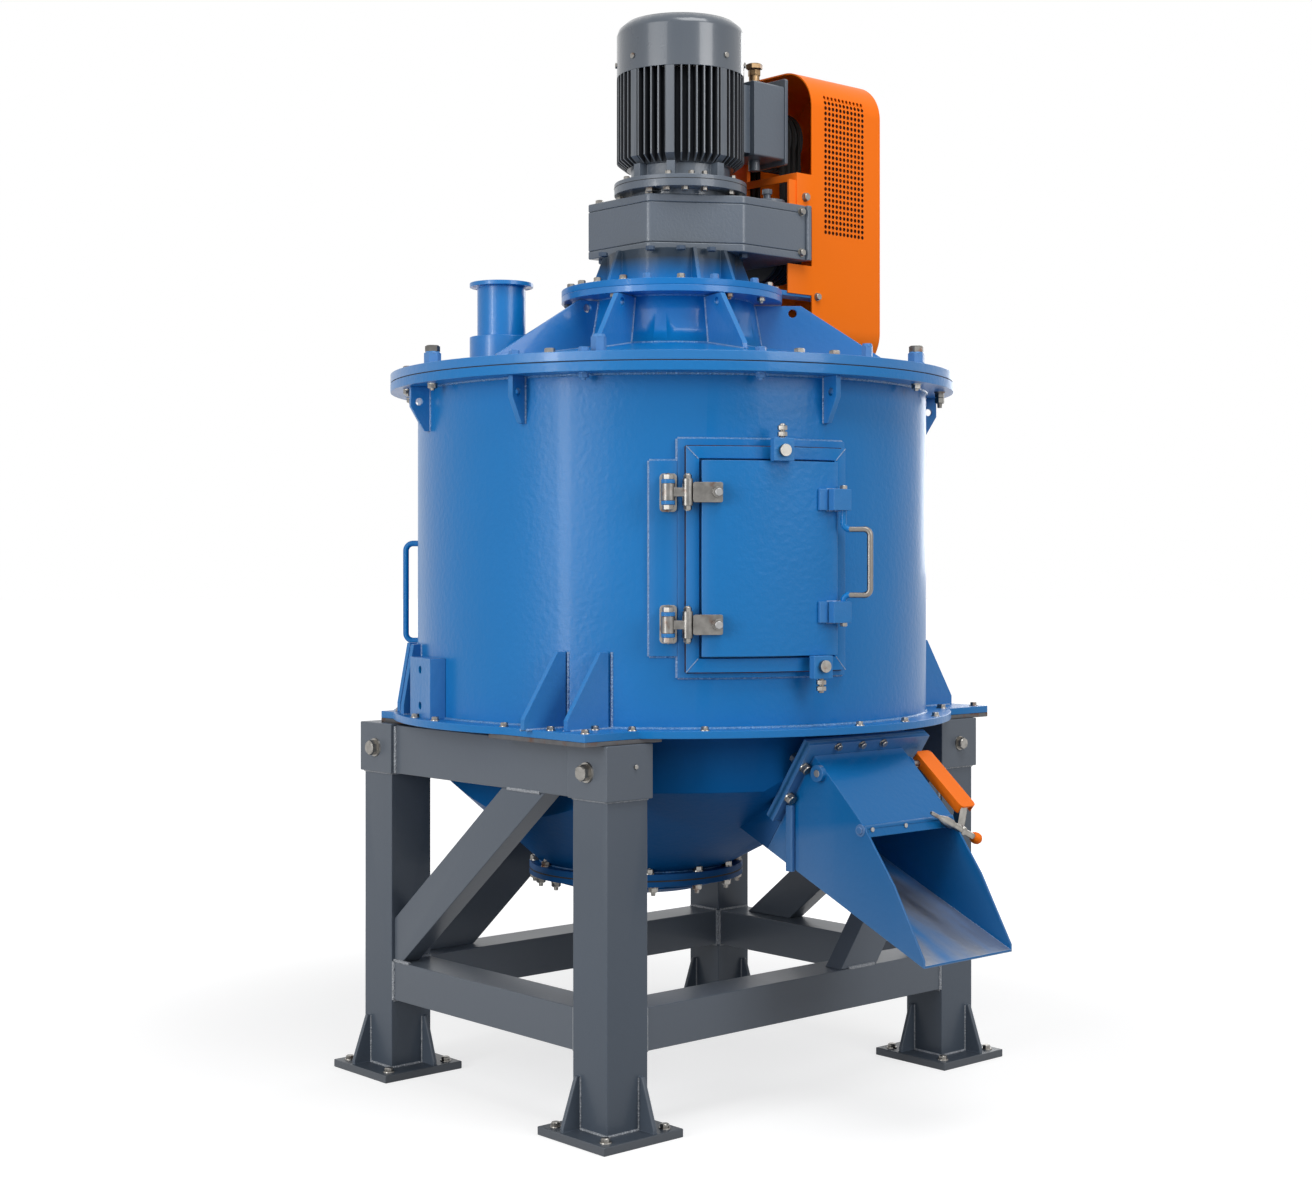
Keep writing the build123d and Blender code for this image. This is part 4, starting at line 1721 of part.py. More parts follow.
# Brackets of the belt drive: cradle webs, a post for the upper tab and two flange brackets
CRADLE_WEB_T = 12
CRADLE_HALF = 40
POST_T = 8
POST_START = 250
BRACKET_T = 12
BRACKET_W = 50
BRACKET_START = 200
BRACKET_REACH = 400
with BuildPart() as drive_brackets:
    for web in (AUX_MOTOR_START + 3 * AUX_CAP_T, AUX_MOTOR_END - 4 * AUX_CAP_T):
        with BuildSketch(Plane.YZ.offset(web)):
            with Locations((PULLEY_Y, GEARBOX_TOP)):
                Rectangle(2 * CRADLE_HALF, UPPER_PULLEY_Z - GEARBOX_TOP, align=(Align.CENTER, Align.MIN))
            with Locations((PULLEY_Y, UPPER_PULLEY_Z)):
                Circle(AUX_MOTOR_R + SEAT_GAP, mode=Mode.SUBTRACT)
        extrude(amount=CRADLE_WEB_T)
    with BuildSketch(Plane.XZ.offset(GUARD_HALF - GUARD_T - POST_T)):
        with Locations((POST_START, GEARBOX_TOP)):
            Rectangle(
                GEARBOX_RIGHT - POST_START,
                GUARD_HIGH_TAB[2] - GUARD_SHELF_LIP - GEARBOX_TOP,
                align=(Align.MIN, Align.MIN),
            )
    extrude(amount=POST_T)
    for side in (-1, 1):
        with BuildSketch(Plane.XY.offset(NECK_BOTTOM)):
            with Locations((BRACKET_START, side * (GUARD_HALF - GUARD_T))):
                Rectangle(
                    BRACKET_REACH - BRACKET_START,
                    BRACKET_W,
                    align=(Align.MIN, Align.MIN if side < 0 else Align.MAX),
                )
        extrude(amount=BRACKET_T)
save(drive_brackets, "drive_brackets")

# Mixing rotor: shaft, two hubs with arms in tiers, blades and a wall scraper
with BuildPart() as main_shaft:
    with BuildSketch(Plane.XY.offset(SHAFT_BOTTOM)):
        Circle(SHAFT_R)
    extrude(amount=SHAFT_TOP - SHAFT_BOTTOM)
save(main_shaft, "main_shaft")

TIER_TURN = 60
TIERS = ((LOW_ARM_Z, 0), (HIGH_ARM_Z, TIER_TURN))
PADDLE_SWEEP = PADDLE_H / 2 * math.sin(math.radians(PADDLE_TILT)) + PADDLE_T
PADDLE_END = math.sqrt((DRUM_BORE - PADDLE_GAP) ** 2 - PADDLE_SWEEP**2)
PADDLE_START = PADDLE_END - PADDLE_W


def paddle_plane(level, angle, offset=0):
    """Tilted plane of a blade, x outward along its arm, z off its face."""
    turn = math.radians(angle)
    tilt = math.radians(PADDLE_TILT)
    away = (-math.sin(turn) * math.cos(tilt), math.cos(turn) * math.cos(tilt), math.sin(tilt))
    outward = (math.cos(turn), math.sin(turn), 0)
    return Plane(origin=(0, 0, level), x_dir=outward, z_dir=away).offset(offset)


BLADES = [
    (level, start + arm * 360 / ARM_COUNT) for level, start in TIERS for arm in range(ARM_COUNT)
]
with BuildPart() as arms:
    for level, start in TIERS:
        with BuildSketch(Plane.XY.offset(level - HUB_H / 2)):
            Circle(HUB_R)
        extrude(amount=HUB_H)
    for level, angle in BLADES:
        turn = math.radians(angle)
        arm_plane = Plane(origin=(0, 0, level), z_dir=(math.cos(turn), math.sin(turn), 0))
        with BuildSketch(arm_plane):
            Circle(ARM_R)
        extrude(amount=PADDLE_START + ARM_REACH)
    for level, angle in BLADES:
        with BuildSketch(paddle_plane(level, angle, -SEAT_GAP)):
            with Locations((PADDLE_START - SEAT_GAP, 0)):
                Rectangle(PADDLE_W, PADDLE_H, align=(Align.MIN, Align.CENTER))
        extrude(amount=2 * ARM_R, mode=Mode.SUBTRACT)
    for level, start in TIERS:
        with BuildSketch(Plane.XY.offset(level - HUB_H / 2)):
            Circle(SHAFT_R + RUN_FIT)
        extrude(amount=HUB_H, mode=Mode.SUBTRACT)
save(arms, "mixing_arms")

with BuildPart() as paddles:
    for level, angle in BLADES:
        with BuildSketch(paddle_plane(level, angle)):
            with Locations((PADDLE_START, 0)):
                Rectangle(PADDLE_W, PADDLE_H, align=(Align.MIN, Align.CENTER))
        extrude(amount=PADDLE_T)
save(paddles, "paddles")

SCRAPER_ANGLE = TIER_TURN / 2
SCRAPER_EDGE = DRUM_BORE - SCRAPER_GAP
SCRAPER_RINGS = (DRUM_BOTTOM + 260, DRUM_BOTTOM + 560)
SCRAPER_RING_H = 50
SCRAPER_ARM_H = 36
with BuildPart() as scraper:
    for level in SCRAPER_RINGS:
        with BuildSketch(Plane.XY.offset(level - SCRAPER_RING_H / 2)):
            Circle(HUB_R)
            Circle(SHAFT_R + RUN_FIT, mode=Mode.SUBTRACT)
        extrude(amount=SCRAPER_RING_H)
        with BuildSketch(radial_plane(SCRAPER_ANGLE)):
            with Locations((HUB_R - SCRAPER_T, level)):
                Rectangle(
                    SCRAPER_EDGE - SCRAPER_W - HUB_R + 2 * SCRAPER_T,
                    SCRAPER_ARM_H,
                    align=(Align.MIN, Align.CENTER),
                )
        extrude(amount=SCRAPER_T / 2, both=True)
    with BuildSketch(radial_plane(SCRAPER_ANGLE)):
        with Locations((SCRAPER_EDGE, SCRAPER_LOW)):
            Rectangle(SCRAPER_W, SCRAPER_HIGH - SCRAPER_LOW, align=(Align.MAX, Align.MIN))
    extrude(amount=SCRAPER_T / 2, both=True)
save(scraper, "wall_scraper")

# Bolts round the lid's rim, heads on the lid and nuts under the drum's flange
RIM_BOLT_R = (TOP_FLANGE_R + DRUM_R) / 2
LUG_CLEAR = 3
NUT_ANGLES = [
    angle for angle in FLANGE_BOLT_ANGLES if min(abs(angle - lug) for lug in LUG_ANGLES) > LUG_CLEAR
]
with BuildPart() as flange_bolts:
    for level, height, angles in (
        (LID_TOP, BOLT_HEAD_H, FLANGE_BOLT_ANGLES),
        (DRUM_TOP - FLANGE_T, -BOLT_HEAD_H, NUT_ANGLES),
    ):
        with BuildSketch(Plane.XY.offset(level)):
            for angle in angles:
                with PolarLocations(RIM_BOLT_R, 1, start_angle=angle):
                    RegularPolygon(FLANGE_BOLT_R, 6)
        extrude(amount=height)
save(flange_bolts, "flange_bolts")
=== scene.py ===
import bpy, bmesh, json, math
from mathutils import Matrix, Vector

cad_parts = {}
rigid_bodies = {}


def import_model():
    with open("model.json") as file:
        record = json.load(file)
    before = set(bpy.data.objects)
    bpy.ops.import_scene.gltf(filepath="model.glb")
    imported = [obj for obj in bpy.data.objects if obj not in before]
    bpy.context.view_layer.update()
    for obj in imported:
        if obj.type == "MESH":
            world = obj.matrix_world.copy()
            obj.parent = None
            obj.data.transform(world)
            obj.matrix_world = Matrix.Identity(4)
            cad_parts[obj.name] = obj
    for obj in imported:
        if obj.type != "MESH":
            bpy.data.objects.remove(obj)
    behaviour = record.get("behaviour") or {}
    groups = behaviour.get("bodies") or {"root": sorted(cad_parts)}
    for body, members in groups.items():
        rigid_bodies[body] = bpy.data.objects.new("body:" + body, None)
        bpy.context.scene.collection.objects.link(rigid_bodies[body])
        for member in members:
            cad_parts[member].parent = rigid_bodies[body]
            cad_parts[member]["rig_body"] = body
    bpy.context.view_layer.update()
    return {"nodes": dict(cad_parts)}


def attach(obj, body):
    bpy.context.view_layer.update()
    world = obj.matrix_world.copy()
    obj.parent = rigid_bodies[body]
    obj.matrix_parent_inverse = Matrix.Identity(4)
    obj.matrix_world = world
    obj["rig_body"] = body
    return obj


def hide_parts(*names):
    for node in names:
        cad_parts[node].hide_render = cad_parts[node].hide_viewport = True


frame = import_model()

# Camera: level with the drum's middle and turned to the front leg, so that it sees both near
# sides. Its lens and the rise of its frame come from a fit of the machine's straight edges.
FRAME_WIDE, FOCAL_LENGTH, FRAME_RISE = 1312, 2051.3, -38.2
LOOK_X, LOOK_Y = 0.6651, 0.7468
camera = bpy.data.objects.new("camera", bpy.data.cameras.new("camera"))
bpy.context.scene.collection.objects.link(camera)
camera.location = (-3.2745, -3.6205, 1.1902)
camera.rotation_euler = (math.radians(90), 0, -math.atan2(LOOK_X, LOOK_Y))
camera.data.lens = 36 * FOCAL_LENGTH / FRAME_WIDE
camera.data.shift_y = FRAME_RISE / FRAME_WIDE
bpy.context.scene.camera = camera
bpy.context.scene.view_settings.view_transform = "Standard"


# Studio: a pale floor that runs on without an edge, and a white surround that gloss shows too.
# Soft lamps and a dimmer sky light the machine, and the floor keeps its shadow.
SKY_LIGHT, WHITE = 0.25, 1.0
FLOOR_RADIUS, FLOOR_SHADE, FLOOR_NEAR, FLOOR_WHITE_FROM = 60, 0.7, 1.0, 2.6


def white_to_gloss(nodes, links, dim, level):
    path = nodes.new("ShaderNodeLightPath")
    seen = nodes.new("ShaderNodeMath")
    seen.operation = "MAXIMUM"
    links.new(path.outputs["Is Camera Ray"], seen.inputs[0])
    links.new(path.outputs["Is Transmission Ray"], seen.inputs[1])
    shown = nodes.new("ShaderNodeMath")
    shown.operation = "MAXIMUM"
    links.new(seen.outputs[0], shown.inputs[0])
    links.new(path.outputs["Is Glossy Ray"], shown.inputs[1])
    pick = nodes.new("ShaderNodeMix")
    pick.data_type = "FLOAT"
    pick.inputs["A"].default_value = dim
    links.new(shown.outputs[0], pick.inputs["Factor"])
    if isinstance(level, float):
        pick.inputs["B"].default_value = level
    else:
        links.new(level, pick.inputs["B"])
    return pick.outputs["Result"]


world = bpy.data.worlds.new("studio")
bpy.context.scene.world = world
world.use_nodes = True
sky = world.node_tree.nodes["Background"]
sky.inputs["Color"].default_value = (1, 1, 1, 1)
world.node_tree.links.new(
    white_to_gloss(world.node_tree.nodes, world.node_tree.links, SKY_LIGHT, WHITE), sky.inputs["Strength"]
)

floor = bpy.data.objects.new("floor", bpy.data.meshes.new("floor"))
bpy.context.scene.collection.objects.link(floor)
sweep = bmesh.new()
bmesh.ops.create_circle(sweep, cap_ends=True, segments=96, radius=FLOOR_RADIUS)
sweep.to_mesh(floor.data)
sweep.free()
floor_white = bpy.data.materials.new("floor_white")
floor_white.use_nodes = True
tree = floor_white.node_tree
shader = tree.nodes["Principled BSDF"]
shader.inputs["Base Color"].default_value = (0.4, 0.4, 0.4, 1)
shader.inputs["Roughness"].default_value = 1.0
shader.inputs["Specular IOR Level"].default_value = 0.0
shader.inputs["Emission Color"].default_value = (1, 1, 1, 1)
ground = tree.nodes.new("ShaderNodeTexCoord")
reach = tree.nodes.new("ShaderNodeVectorMath")
reach.operation = "LENGTH"
tree.links.new(ground.outputs["Object"], reach.inputs[0])
paling = tree.nodes.new("ShaderNodeMapRange")
paling.interpolation_type = "SMOOTHSTEP"
paling.inputs["From Min"].default_value = FLOOR_NEAR
paling.inputs["From Max"].default_value = FLOOR_WHITE_FROM
paling.inputs["To Min"].default_value = FLOOR_SHADE
paling.inputs["To Max"].default_value = WHITE
tree.links.new(reach.outputs["Value"], paling.inputs["Value"])
tree.links.new(
    white_to_gloss(tree.nodes, tree.links, 0.0, paling.outputs["Result"]), shader.inputs["Emission Strength"]
)
floor.data.materials.append(floor_white)

for name, place, aim, wide, tall, power in (
    ("key", (-4.3, -0.5, 2.7), (0, 0, 1.35), 2.6, 3.4, 62),
    ("strip", (-4.2, -0.3, 1.5), (0, 0, 1.35), 0.4, 2.6, 43),
    ("fill", (0.4, -5.2, 3.1), (0, 0, 1.6), 2.2, 2.6, 90),
    ("top", (-0.5, -2.0, 4.8), (0, 0, 1.7), 2.4, 2.0, 76),
    ("rim", (4.2, 1.6, 2.4), (0, 0, 1.3), 1.6, 2.6, 40),
):
    lamp = bpy.data.lights.new(name, "AREA")
    lamp.shape = "RECTANGLE"
    lamp.size = wide
    lamp.size_y = tall
    lamp.energy = power
    holder = bpy.data.objects.new(name, lamp)
    holder.location = place
    holder.rotation_euler = (Vector(aim) - Vector(place)).to_track_quat("-Z", "Y").to_euler()
    bpy.context.scene.collection.objects.link(holder)


# Stand: legs, caps, rails and braces of box tube and plate, welded and sprayed in dark grey
# enamel. The coat has a shallow orange peel, soft clouds, and paler edges, partly rubbed wear
# and partly a painted highlight.
def enamel(name, colour, roughness=0.32, peel=0.3, cloud=0.08, rub_and_sheen=0.3, coat=0.08, gloss=0.2, grain=75,
           ripple=0.0, painted_shade_fade=None, bare=None):
    paint = bpy.data.materials.new(name)
    paint.use_nodes = True
    nodes, links = paint.node_tree.nodes, paint.node_tree.links
    shader = nodes["Principled BSDF"]
    shader.inputs["Specular IOR Level"].default_value = gloss
    shader.inputs["Coat Weight"].default_value = coat
    shader.inputs["Coat Roughness"].default_value = 0.09
    place = nodes.new("ShaderNodeTexCoord")
    broad = nodes.new("ShaderNodeTexNoise")
    broad.inputs["Scale"].default_value = 3.2
    broad.inputs["Detail"].default_value = 6
    links.new(place.outputs["Object"], broad.inputs["Vector"])
    tint = nodes.new("ShaderNodeMix")
    tint.data_type = "RGBA"
    tint.inputs["A"].default_value = (*[c * (1 - cloud) for c in colour], 1)
    tint.inputs["B"].default_value = (*[min(c * (1 + cloud), 1) for c in colour], 1)
    links.new(broad.outputs["Fac"], tint.inputs["Factor"])
    shown = tint.outputs["Result"]
    # A second colour blended in by height, used as painted shade.
    if painted_shade_fade:
        shade_colour, low, high = painted_shade_fade
        height = nodes.new("ShaderNodeSeparateXYZ")
        links.new(place.outputs["Object"], height.inputs[0])
        ramp = nodes.new("ShaderNodeMapRange")
        ramp.inputs["From Min"].default_value = low
        ramp.inputs["From Max"].default_value = high
        links.new(height.outputs["Z"], ramp.inputs["Value"])
        shade_mix = nodes.new("ShaderNodeMix")
        shade_mix.data_type = "RGBA"
        shade_mix.inputs["B"].default_value = (*shade_colour, 1)
        links.new(ramp.outputs["Result"], shade_mix.inputs["Factor"])
        links.new(shown, shade_mix.inputs["A"])
        shown = shade_mix.outputs["Result"]
    # Pointiness makes the edges paler: partly rubbed wear, partly a painted highlight.
    edge = nodes.new("ShaderNodeNewGeometry")
    rub_and_sheen_mask = nodes.new("ShaderNodeMapRange")
    rub_and_sheen_mask.inputs["From Min"].default_value = 0.53
    rub_and_sheen_mask.inputs["From Max"].default_value = 0.62
    rub_and_sheen_mask.inputs["To Max"].default_value = rub_and_sheen
    links.new(edge.outputs["Pointiness"], rub_and_sheen_mask.inputs["Value"])
    rubbed_and_highlit = nodes.new("ShaderNodeMix")
    rubbed_and_highlit.data_type = "RGBA"
    rubbed_and_highlit.inputs["B"].default_value = (*[c + (0.7 - c) * 0.4 for c in colour], 1)
    links.new(shown, rubbed_and_highlit.inputs["A"])
    links.new(rub_and_sheen_mask.outputs["Result"], rubbed_and_highlit.inputs["Factor"])
    shown = rubbed_and_highlit.outputs["Result"]
    if bare:
        # scoured patches: long streaks down the slope, where the paint has gone from the steel
        colour_bare, stretch, least, most = bare
        turned = nodes.new("ShaderNodeMapping")
        turned.inputs["Scale"].default_value = stretch
        links.new(place.outputs["Object"], turned.inputs["Vector"])
        streaks = nodes.new("ShaderNodeTexNoise")
        streaks.inputs["Scale"].default_value = 5
        streaks.inputs["Detail"].default_value = 8
        links.new(turned.outputs["Vector"], streaks.inputs["Vector"])
        gone = nodes.new("ShaderNodeMapRange")
        gone.inputs["From Min"].default_value = least
        gone.inputs["From Max"].default_value = most
        links.new(streaks.outputs["Fac"], gone.inputs["Value"])
        scoured = nodes.new("ShaderNodeMix")
        scoured.data_type = "RGBA"
        scoured.inputs["B"].default_value = (*colour_bare, 1)
        links.new(gone.outputs["Result"], scoured.inputs["Factor"])
        links.new(shown, scoured.inputs["A"])
        shown = scoured.outputs["Result"]
        links.new(gone.outputs["Result"], shader.inputs["Metallic"])
    links.new(shown, shader.inputs["Base Color"])
    dull = nodes.new("ShaderNodeMapRange")
    dull.inputs["To Min"].default_value = roughness * 0.8
    dull.inputs["To Max"].default_value = roughness * 1.25
    links.new(broad.outputs["Fac"], dull.inputs["Value"])
    links.new(dull.outputs["Result"], shader.inputs["Roughness"])
    skin = nodes.new("ShaderNodeTexNoise")
    skin.inputs["Scale"].default_value = grain
    skin.inputs["Detail"].default_value = 2
    links.new(place.outputs["Object"], skin.inputs["Vector"])
    bump = nodes.new("ShaderNodeBump")
    bump.inputs["Strength"].default_value = peel
    bump.inputs["Distance"].default_value = 0.002
    links.new(skin.outputs["Fac"], bump.inputs["Height"])
    normal = bump.outputs["Normal"]
    if ripple:
        scales = nodes.new("ShaderNodeTexVoronoi")
        scales.inputs["Scale"].default_value = 200
        links.new(place.outputs["Object"], scales.inputs["Vector"])
        lumps = nodes.new("ShaderNodeBump")
        lumps.inputs["Strength"].default_value = ripple
        lumps.inputs["Distance"].default_value = 0.004
        links.new(scales.outputs["Distance"], lumps.inputs["Height"])
        links.new(normal, lumps.inputs["Normal"])
        normal = lumps.outputs["Normal"]
    links.new(normal, shader.inputs["Normal"])
    return paint


def finish(name, work, paint, body="mixer_body", sharp=32, instead=(), edge=0.0):
    shape = bpy.data.meshes.new(name)
    for face in work.faces:
        face.smooth = True
    for line in work.edges:
        line.smooth = len(line.link_faces) == 2 and line.calc_face_angle(0) < math.radians(sharp)
    work.to_mesh(shape)
    work.free()
    piece = bpy.data.objects.new(name, shape)
    bpy.context.scene.collection.objects.link(piece)
    for coat in paint if isinstance(paint, (list, tuple)) else (paint,):
        shape.materials.append(coat)
    if edge:
        broken = piece.modifiers.new("edges", "BEVEL")
        broken.width = edge
        broken.segments = 2
        broken.limit_method = "ANGLE"
        broken.angle_limit = math.radians(sharp)
        broken.use_clamp_overlap = False
        evened = piece.modifiers.new("evened", "WEIGHTED_NORMAL")
        evened.keep_sharp = False
    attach(piece, body)
    for node in instead:
        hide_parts(node)
    return piece


def copy_of(node):
    work = bmesh.new()
    work.from_mesh(frame["nodes"][node].data)
    bmesh.ops.remove_doubles(work, verts=work.verts, dist=1e-6)
    bmesh.ops.dissolve_limit(
        work, angle_limit=math.radians(0.5), verts=work.verts, edges=work.edges, delimit={"NORMAL"}
    )
    return work


def dress(node, paint, edge=0.0012, sharp=32, mark=None):
    work = copy_of(node)
    for face in work.faces:
        face.material_index = 1 if mark and mark(face) else 0
    return finish(
        node + "_piece", work, paint, frame["nodes"][node]["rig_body"], sharp, (node,), edge
    )


GREY = (0.078, 0.098, 0.127)
grey = enamel("stand_grey", GREY, roughness=0.34, peel=0.12, cloud=0.06, coat=0.06, gloss=0.25)
# The foot plates are painted a darker grey as painted shade near the floor.
foot_grey_painted_shade = enamel(
    "foot_grey_painted_shade", [c * 0.6 for c in GREY], roughness=0.38, peel=0.12, cloud=0.1, coat=0.1, gloss=0.3
)
FOOT_TOP = 0.018
for node in ("leg_caps", "rails", "braces"):
    dress(node, grey, edge=0.002)
dress(
    "legs", (grey, foot_grey_painted_shade), edge=0.002,
    mark=lambda face: face.calc_center_median().z < FOOT_TOP + 0.0005,
)


# Weld beads of the stand: a run of filler metal in each corner where tube meets tube or plate,
# rippled by the torch and painted over with the rest. The beads are painted paler than the
# stand, with strongly paler edges, as a painted highlight.
def bead(work, start, end, thick=0.0045):
    start, end = Vector(start), Vector(end)
    along = (end - start).to_track_quat("Z", "Y").to_matrix().to_4x4()
    bmesh.ops.create_cone(
        work, cap_ends=True, segments=8, radius1=thick, radius2=thick, depth=(end - start).length,
        matrix=Matrix.Translation((start + end) / 2) @ along,
    )


def bead_arc(work, radius, height, start=0, turn=360, thick=0.004, centre=(0, 0)):
    made = bmesh.ops.create_circle(
        work, segments=8, radius=thick,
        matrix=Matrix.Translation((*centre, 0)) @ Matrix.Rotation(math.radians(start), 4, "Z")
        @ Matrix.Translation((radius, 0, height)) @ Matrix.Rotation(math.radians(90), 4, "X"),
    )
    loop = list({line for vert in made["verts"] for line in vert.link_edges})
    bmesh.ops.spin(
        work, geom=made["verts"] + loop, cent=(*centre, 0), axis=(0, 0, 1), angle=math.radians(turn),
        steps=max(6, round(abs(turn) / 3)), use_merge=abs(turn) == 360, use_duplicate=False,
    )


def lay_beads(name, work, paint, body="mixer_body"):
    bmesh.ops.holes_fill(work, edges=[line for line in work.edges if line.is_boundary])
    bmesh.ops.recalc_face_normals(work, faces=work.faces)
    return finish(name, work, paint, body, sharp=60)


LEG_X, LEG_Y, LEG, CAP = 0.520, 0.385, 0.055, 0.063
LOW_RAIL, TOP_RAIL, CAP_UNDER, HALF_RAIL = (0.175, 0.265), (0.701, 0.809), 0.7, 0.05
GUSSET_TOP, GUSSET_SIDES = 0.126, (0.03, 0.04)
grey_bead_highlit = enamel(
    "grey_weld_painted_highlight", [c * 1.5 for c in GREY], roughness=0.34, ripple=0.8, rub_and_sheen=0.8, coat=0.2, gloss=0.4
)
work = bmesh.new()
for sx in (-1, 1):
    for sy in (-1, 1):
        x, y = sx * LEG_X, sy * LEG_Y
        for half, (low, high), ends in (
            (LEG, LOW_RAIL, ((-sx, 0), (0, -sy))),
            (CAP, TOP_RAIL, ((0, -sy), (-sx, 0)) if sy > 0 else ((0, -sy),)),
        ):
            for dx, dy in ends:
                for side in (-HALF_RAIL, HALF_RAIL):
                    cx, cy = x + dx * half + side * abs(dy), y + dy * half + side * abs(dx)
                    bead(work, (cx, cy, low), (cx, cy, high))
                for level in (low, high) if half == LEG else ():
                    bead(
                        work,
                        (x + dx * half - HALF_RAIL * abs(dy), y + dy * half - HALF_RAIL * abs(dx), level),
                        (x + dx * half + HALF_RAIL * abs(dy), y + dy * half + HALF_RAIL * abs(dx), level),
                    )
        for level in (CAP_UNDER, FOOT_TOP):
            corners = [(x - LEG, y - LEG), (x + LEG, y - LEG), (x + LEG, y + LEG), (x - LEG, y + LEG)]
            for first, last in zip(corners, corners[1:] + corners[:1]):
                bead(work, (*first, level), (*last, level), 0.0035)
        for dx, dy in ((1, 0), (-1, 0), (0, 1), (0, -1)):
            for side in GUSSET_SIDES:
                foot = (x + dx * LEG + side * abs(dy), y + dy * LEG + side * abs(dx))
                bead(work, (*foot, FOOT_TOP + 0.002), (*foot, GUSSET_TOP), 0.0022)
for start, end in (
    ((0.15, -0.432, 0.266), (0.235, -0.432, 0.266)), ((0.464, -0.432, 0.56), (0.464, -0.432, 0.69)),
    ((-0.567, 0.27, 0.266), (-0.567, 0.329, 0.266)), ((-0.567, -0.213, 0.7), (-0.567, -0.1, 0.7)),
):
    bead(work, start, end)
lay_beads("stand_welds", work, grey_bead_highlit)


# Bolts of the stand: a hexagon head on a broad washer at each cap, and anchor bolts in the feet.
# The same zinc-plated head, nut and stud serve every joint of the machine, each in its size.
def steel(name, colour, roughness, grain=60, shade=0.6, rust=0.0):
    metal = bpy.data.materials.new(name)
    metal.use_nodes = True
    nodes, links = metal.node_tree.nodes, metal.node_tree.links
    shader = nodes["Principled BSDF"]
    shader.inputs["Metallic"].default_value = 1.0
    place = nodes.new("ShaderNodeTexCoord")
    noise = nodes.new("ShaderNodeTexNoise")
    noise.inputs["Scale"].default_value = grain
    noise.inputs["Detail"].default_value = 6
    links.new(place.outputs["Object"], noise.inputs["Vector"])
    dull = nodes.new("ShaderNodeMapRange")
    dull.inputs["To Min"].default_value = roughness * 0.7
    dull.inputs["To Max"].default_value = roughness * 1.35
    links.new(noise.outputs["Fac"], dull.inputs["Value"])
    links.new(dull.outputs["Result"], shader.inputs["Roughness"])
    tone = nodes.new("ShaderNodeMix")
    tone.data_type = "RGBA"
    tone.inputs["A"].default_value = (*[c * shade for c in colour], 1)
    tone.inputs["B"].default_value = (*[min(c * 1.15, 1) for c in colour], 1)
    links.new(noise.outputs["Fac"], tone.inputs["Factor"])
    shown = tone.outputs["Result"]
    if rust:
        bloom = nodes.new("ShaderNodeTexNoise")
        bloom.inputs["Scale"].default_value = 28
        bloom.inputs["Detail"].default_value = 8
        links.new(place.outputs["Object"], bloom.inputs["Vector"])
        spots = nodes.new("ShaderNodeMapRange")
        spots.inputs["From Min"].default_value = 0.62 - rust
        spots.inputs["From Max"].default_value = 0.78 - rust
        links.new(bloom.outputs["Fac"], spots.inputs["Value"])
        rusty = nodes.new("ShaderNodeMix")
        rusty.data_type = "RGBA"
        rusty.inputs["B"].default_value = (0.12, 0.045, 0.018, 1)
        links.new(spots.outputs["Result"], rusty.inputs["Factor"])
        links.new(shown, rusty.inputs["A"])
        shown = rusty.outputs["Result"]
    links.new(shown, shader.inputs["Base Color"])
    bump = nodes.new("ShaderNodeBump")
    bump.inputs["Strength"].default_value = 0.1
    bump.inputs["Distance"].default_value = 0.001
    links.new(noise.outputs["Fac"], bump.inputs["Height"])
    links.new(bump.outputs["Normal"], shader.inputs["Normal"])
    return metal


CORNER = 0.577  # a hexagon's corner radius for one across its flats


def hexagon(work, place, outward, across, high, washer=0.0, stud=0.0):
    stand = Matrix.Translation(Vector(place)) @ Vector(outward).to_track_quat("Z", "Y").to_matrix().to_4x4()
    base = across * 0.13 if washer else 0.0
    if washer:
        bmesh.ops.create_cone(
            work, cap_ends=True, segments=20, radius1=washer, radius2=washer * 0.96, depth=base,
            matrix=stand @ Matrix.Translation((0, 0, base / 2)),
        )
    bmesh.ops.create_cone(
        work, cap_ends=True, segments=6, radius1=across * CORNER, radius2=across * CORNER,
        depth=high * 0.86, matrix=stand @ Matrix.Translation((0, 0, base + high * 0.43)),
    )
    bmesh.ops.create_cone(
        work, cap_ends=True, segments=18, radius1=across * 0.53, radius2=across * 0.46, depth=high * 0.16,
        matrix=stand @ Matrix.Translation((0, 0, base + high * 0.92)),
    )
    if stud:
        bmesh.ops.create_cone(
            work, cap_ends=True, segments=12, radius1=across * 0.3, radius2=across * 0.25, depth=stud,
            matrix=stand @ Matrix.Translation((0, 0, base + high + stud / 2)),
        )


plated = steel("plated_steel", (0.37, 0.355, 0.33), 0.3, shade=0.42, rust=0.05)


def fit_bolts(name, spots, across, high, washer=0.0, stud=0.0, paint=plated,
              body="mixer_body", instead=()):
    work = bmesh.new()
    for place, outward in spots:
        hexagon(work, place, outward, across, high, washer, stud)
    return finish(name, work, paint, body, instead=instead)


UP, DOWN, LEFT, RIGHT, FRONT, BACK = (0, 0, 1), (0, 0, -1), (-1, 0, 0), (1, 0, 0), (0, -1, 0), (0, 1, 0)


def around(radius, height, angles, centre=(0, 0)):
    turns = [math.radians(a) for a in angles]
    return [(centre[0] + radius * math.cos(t), centre[1] + radius * math.sin(t), height) for t in turns]


def ring(radius, height, angles, outward, centre=(0, 0)):
    return [(spot, outward) for spot in around(radius, height, angles, centre)]


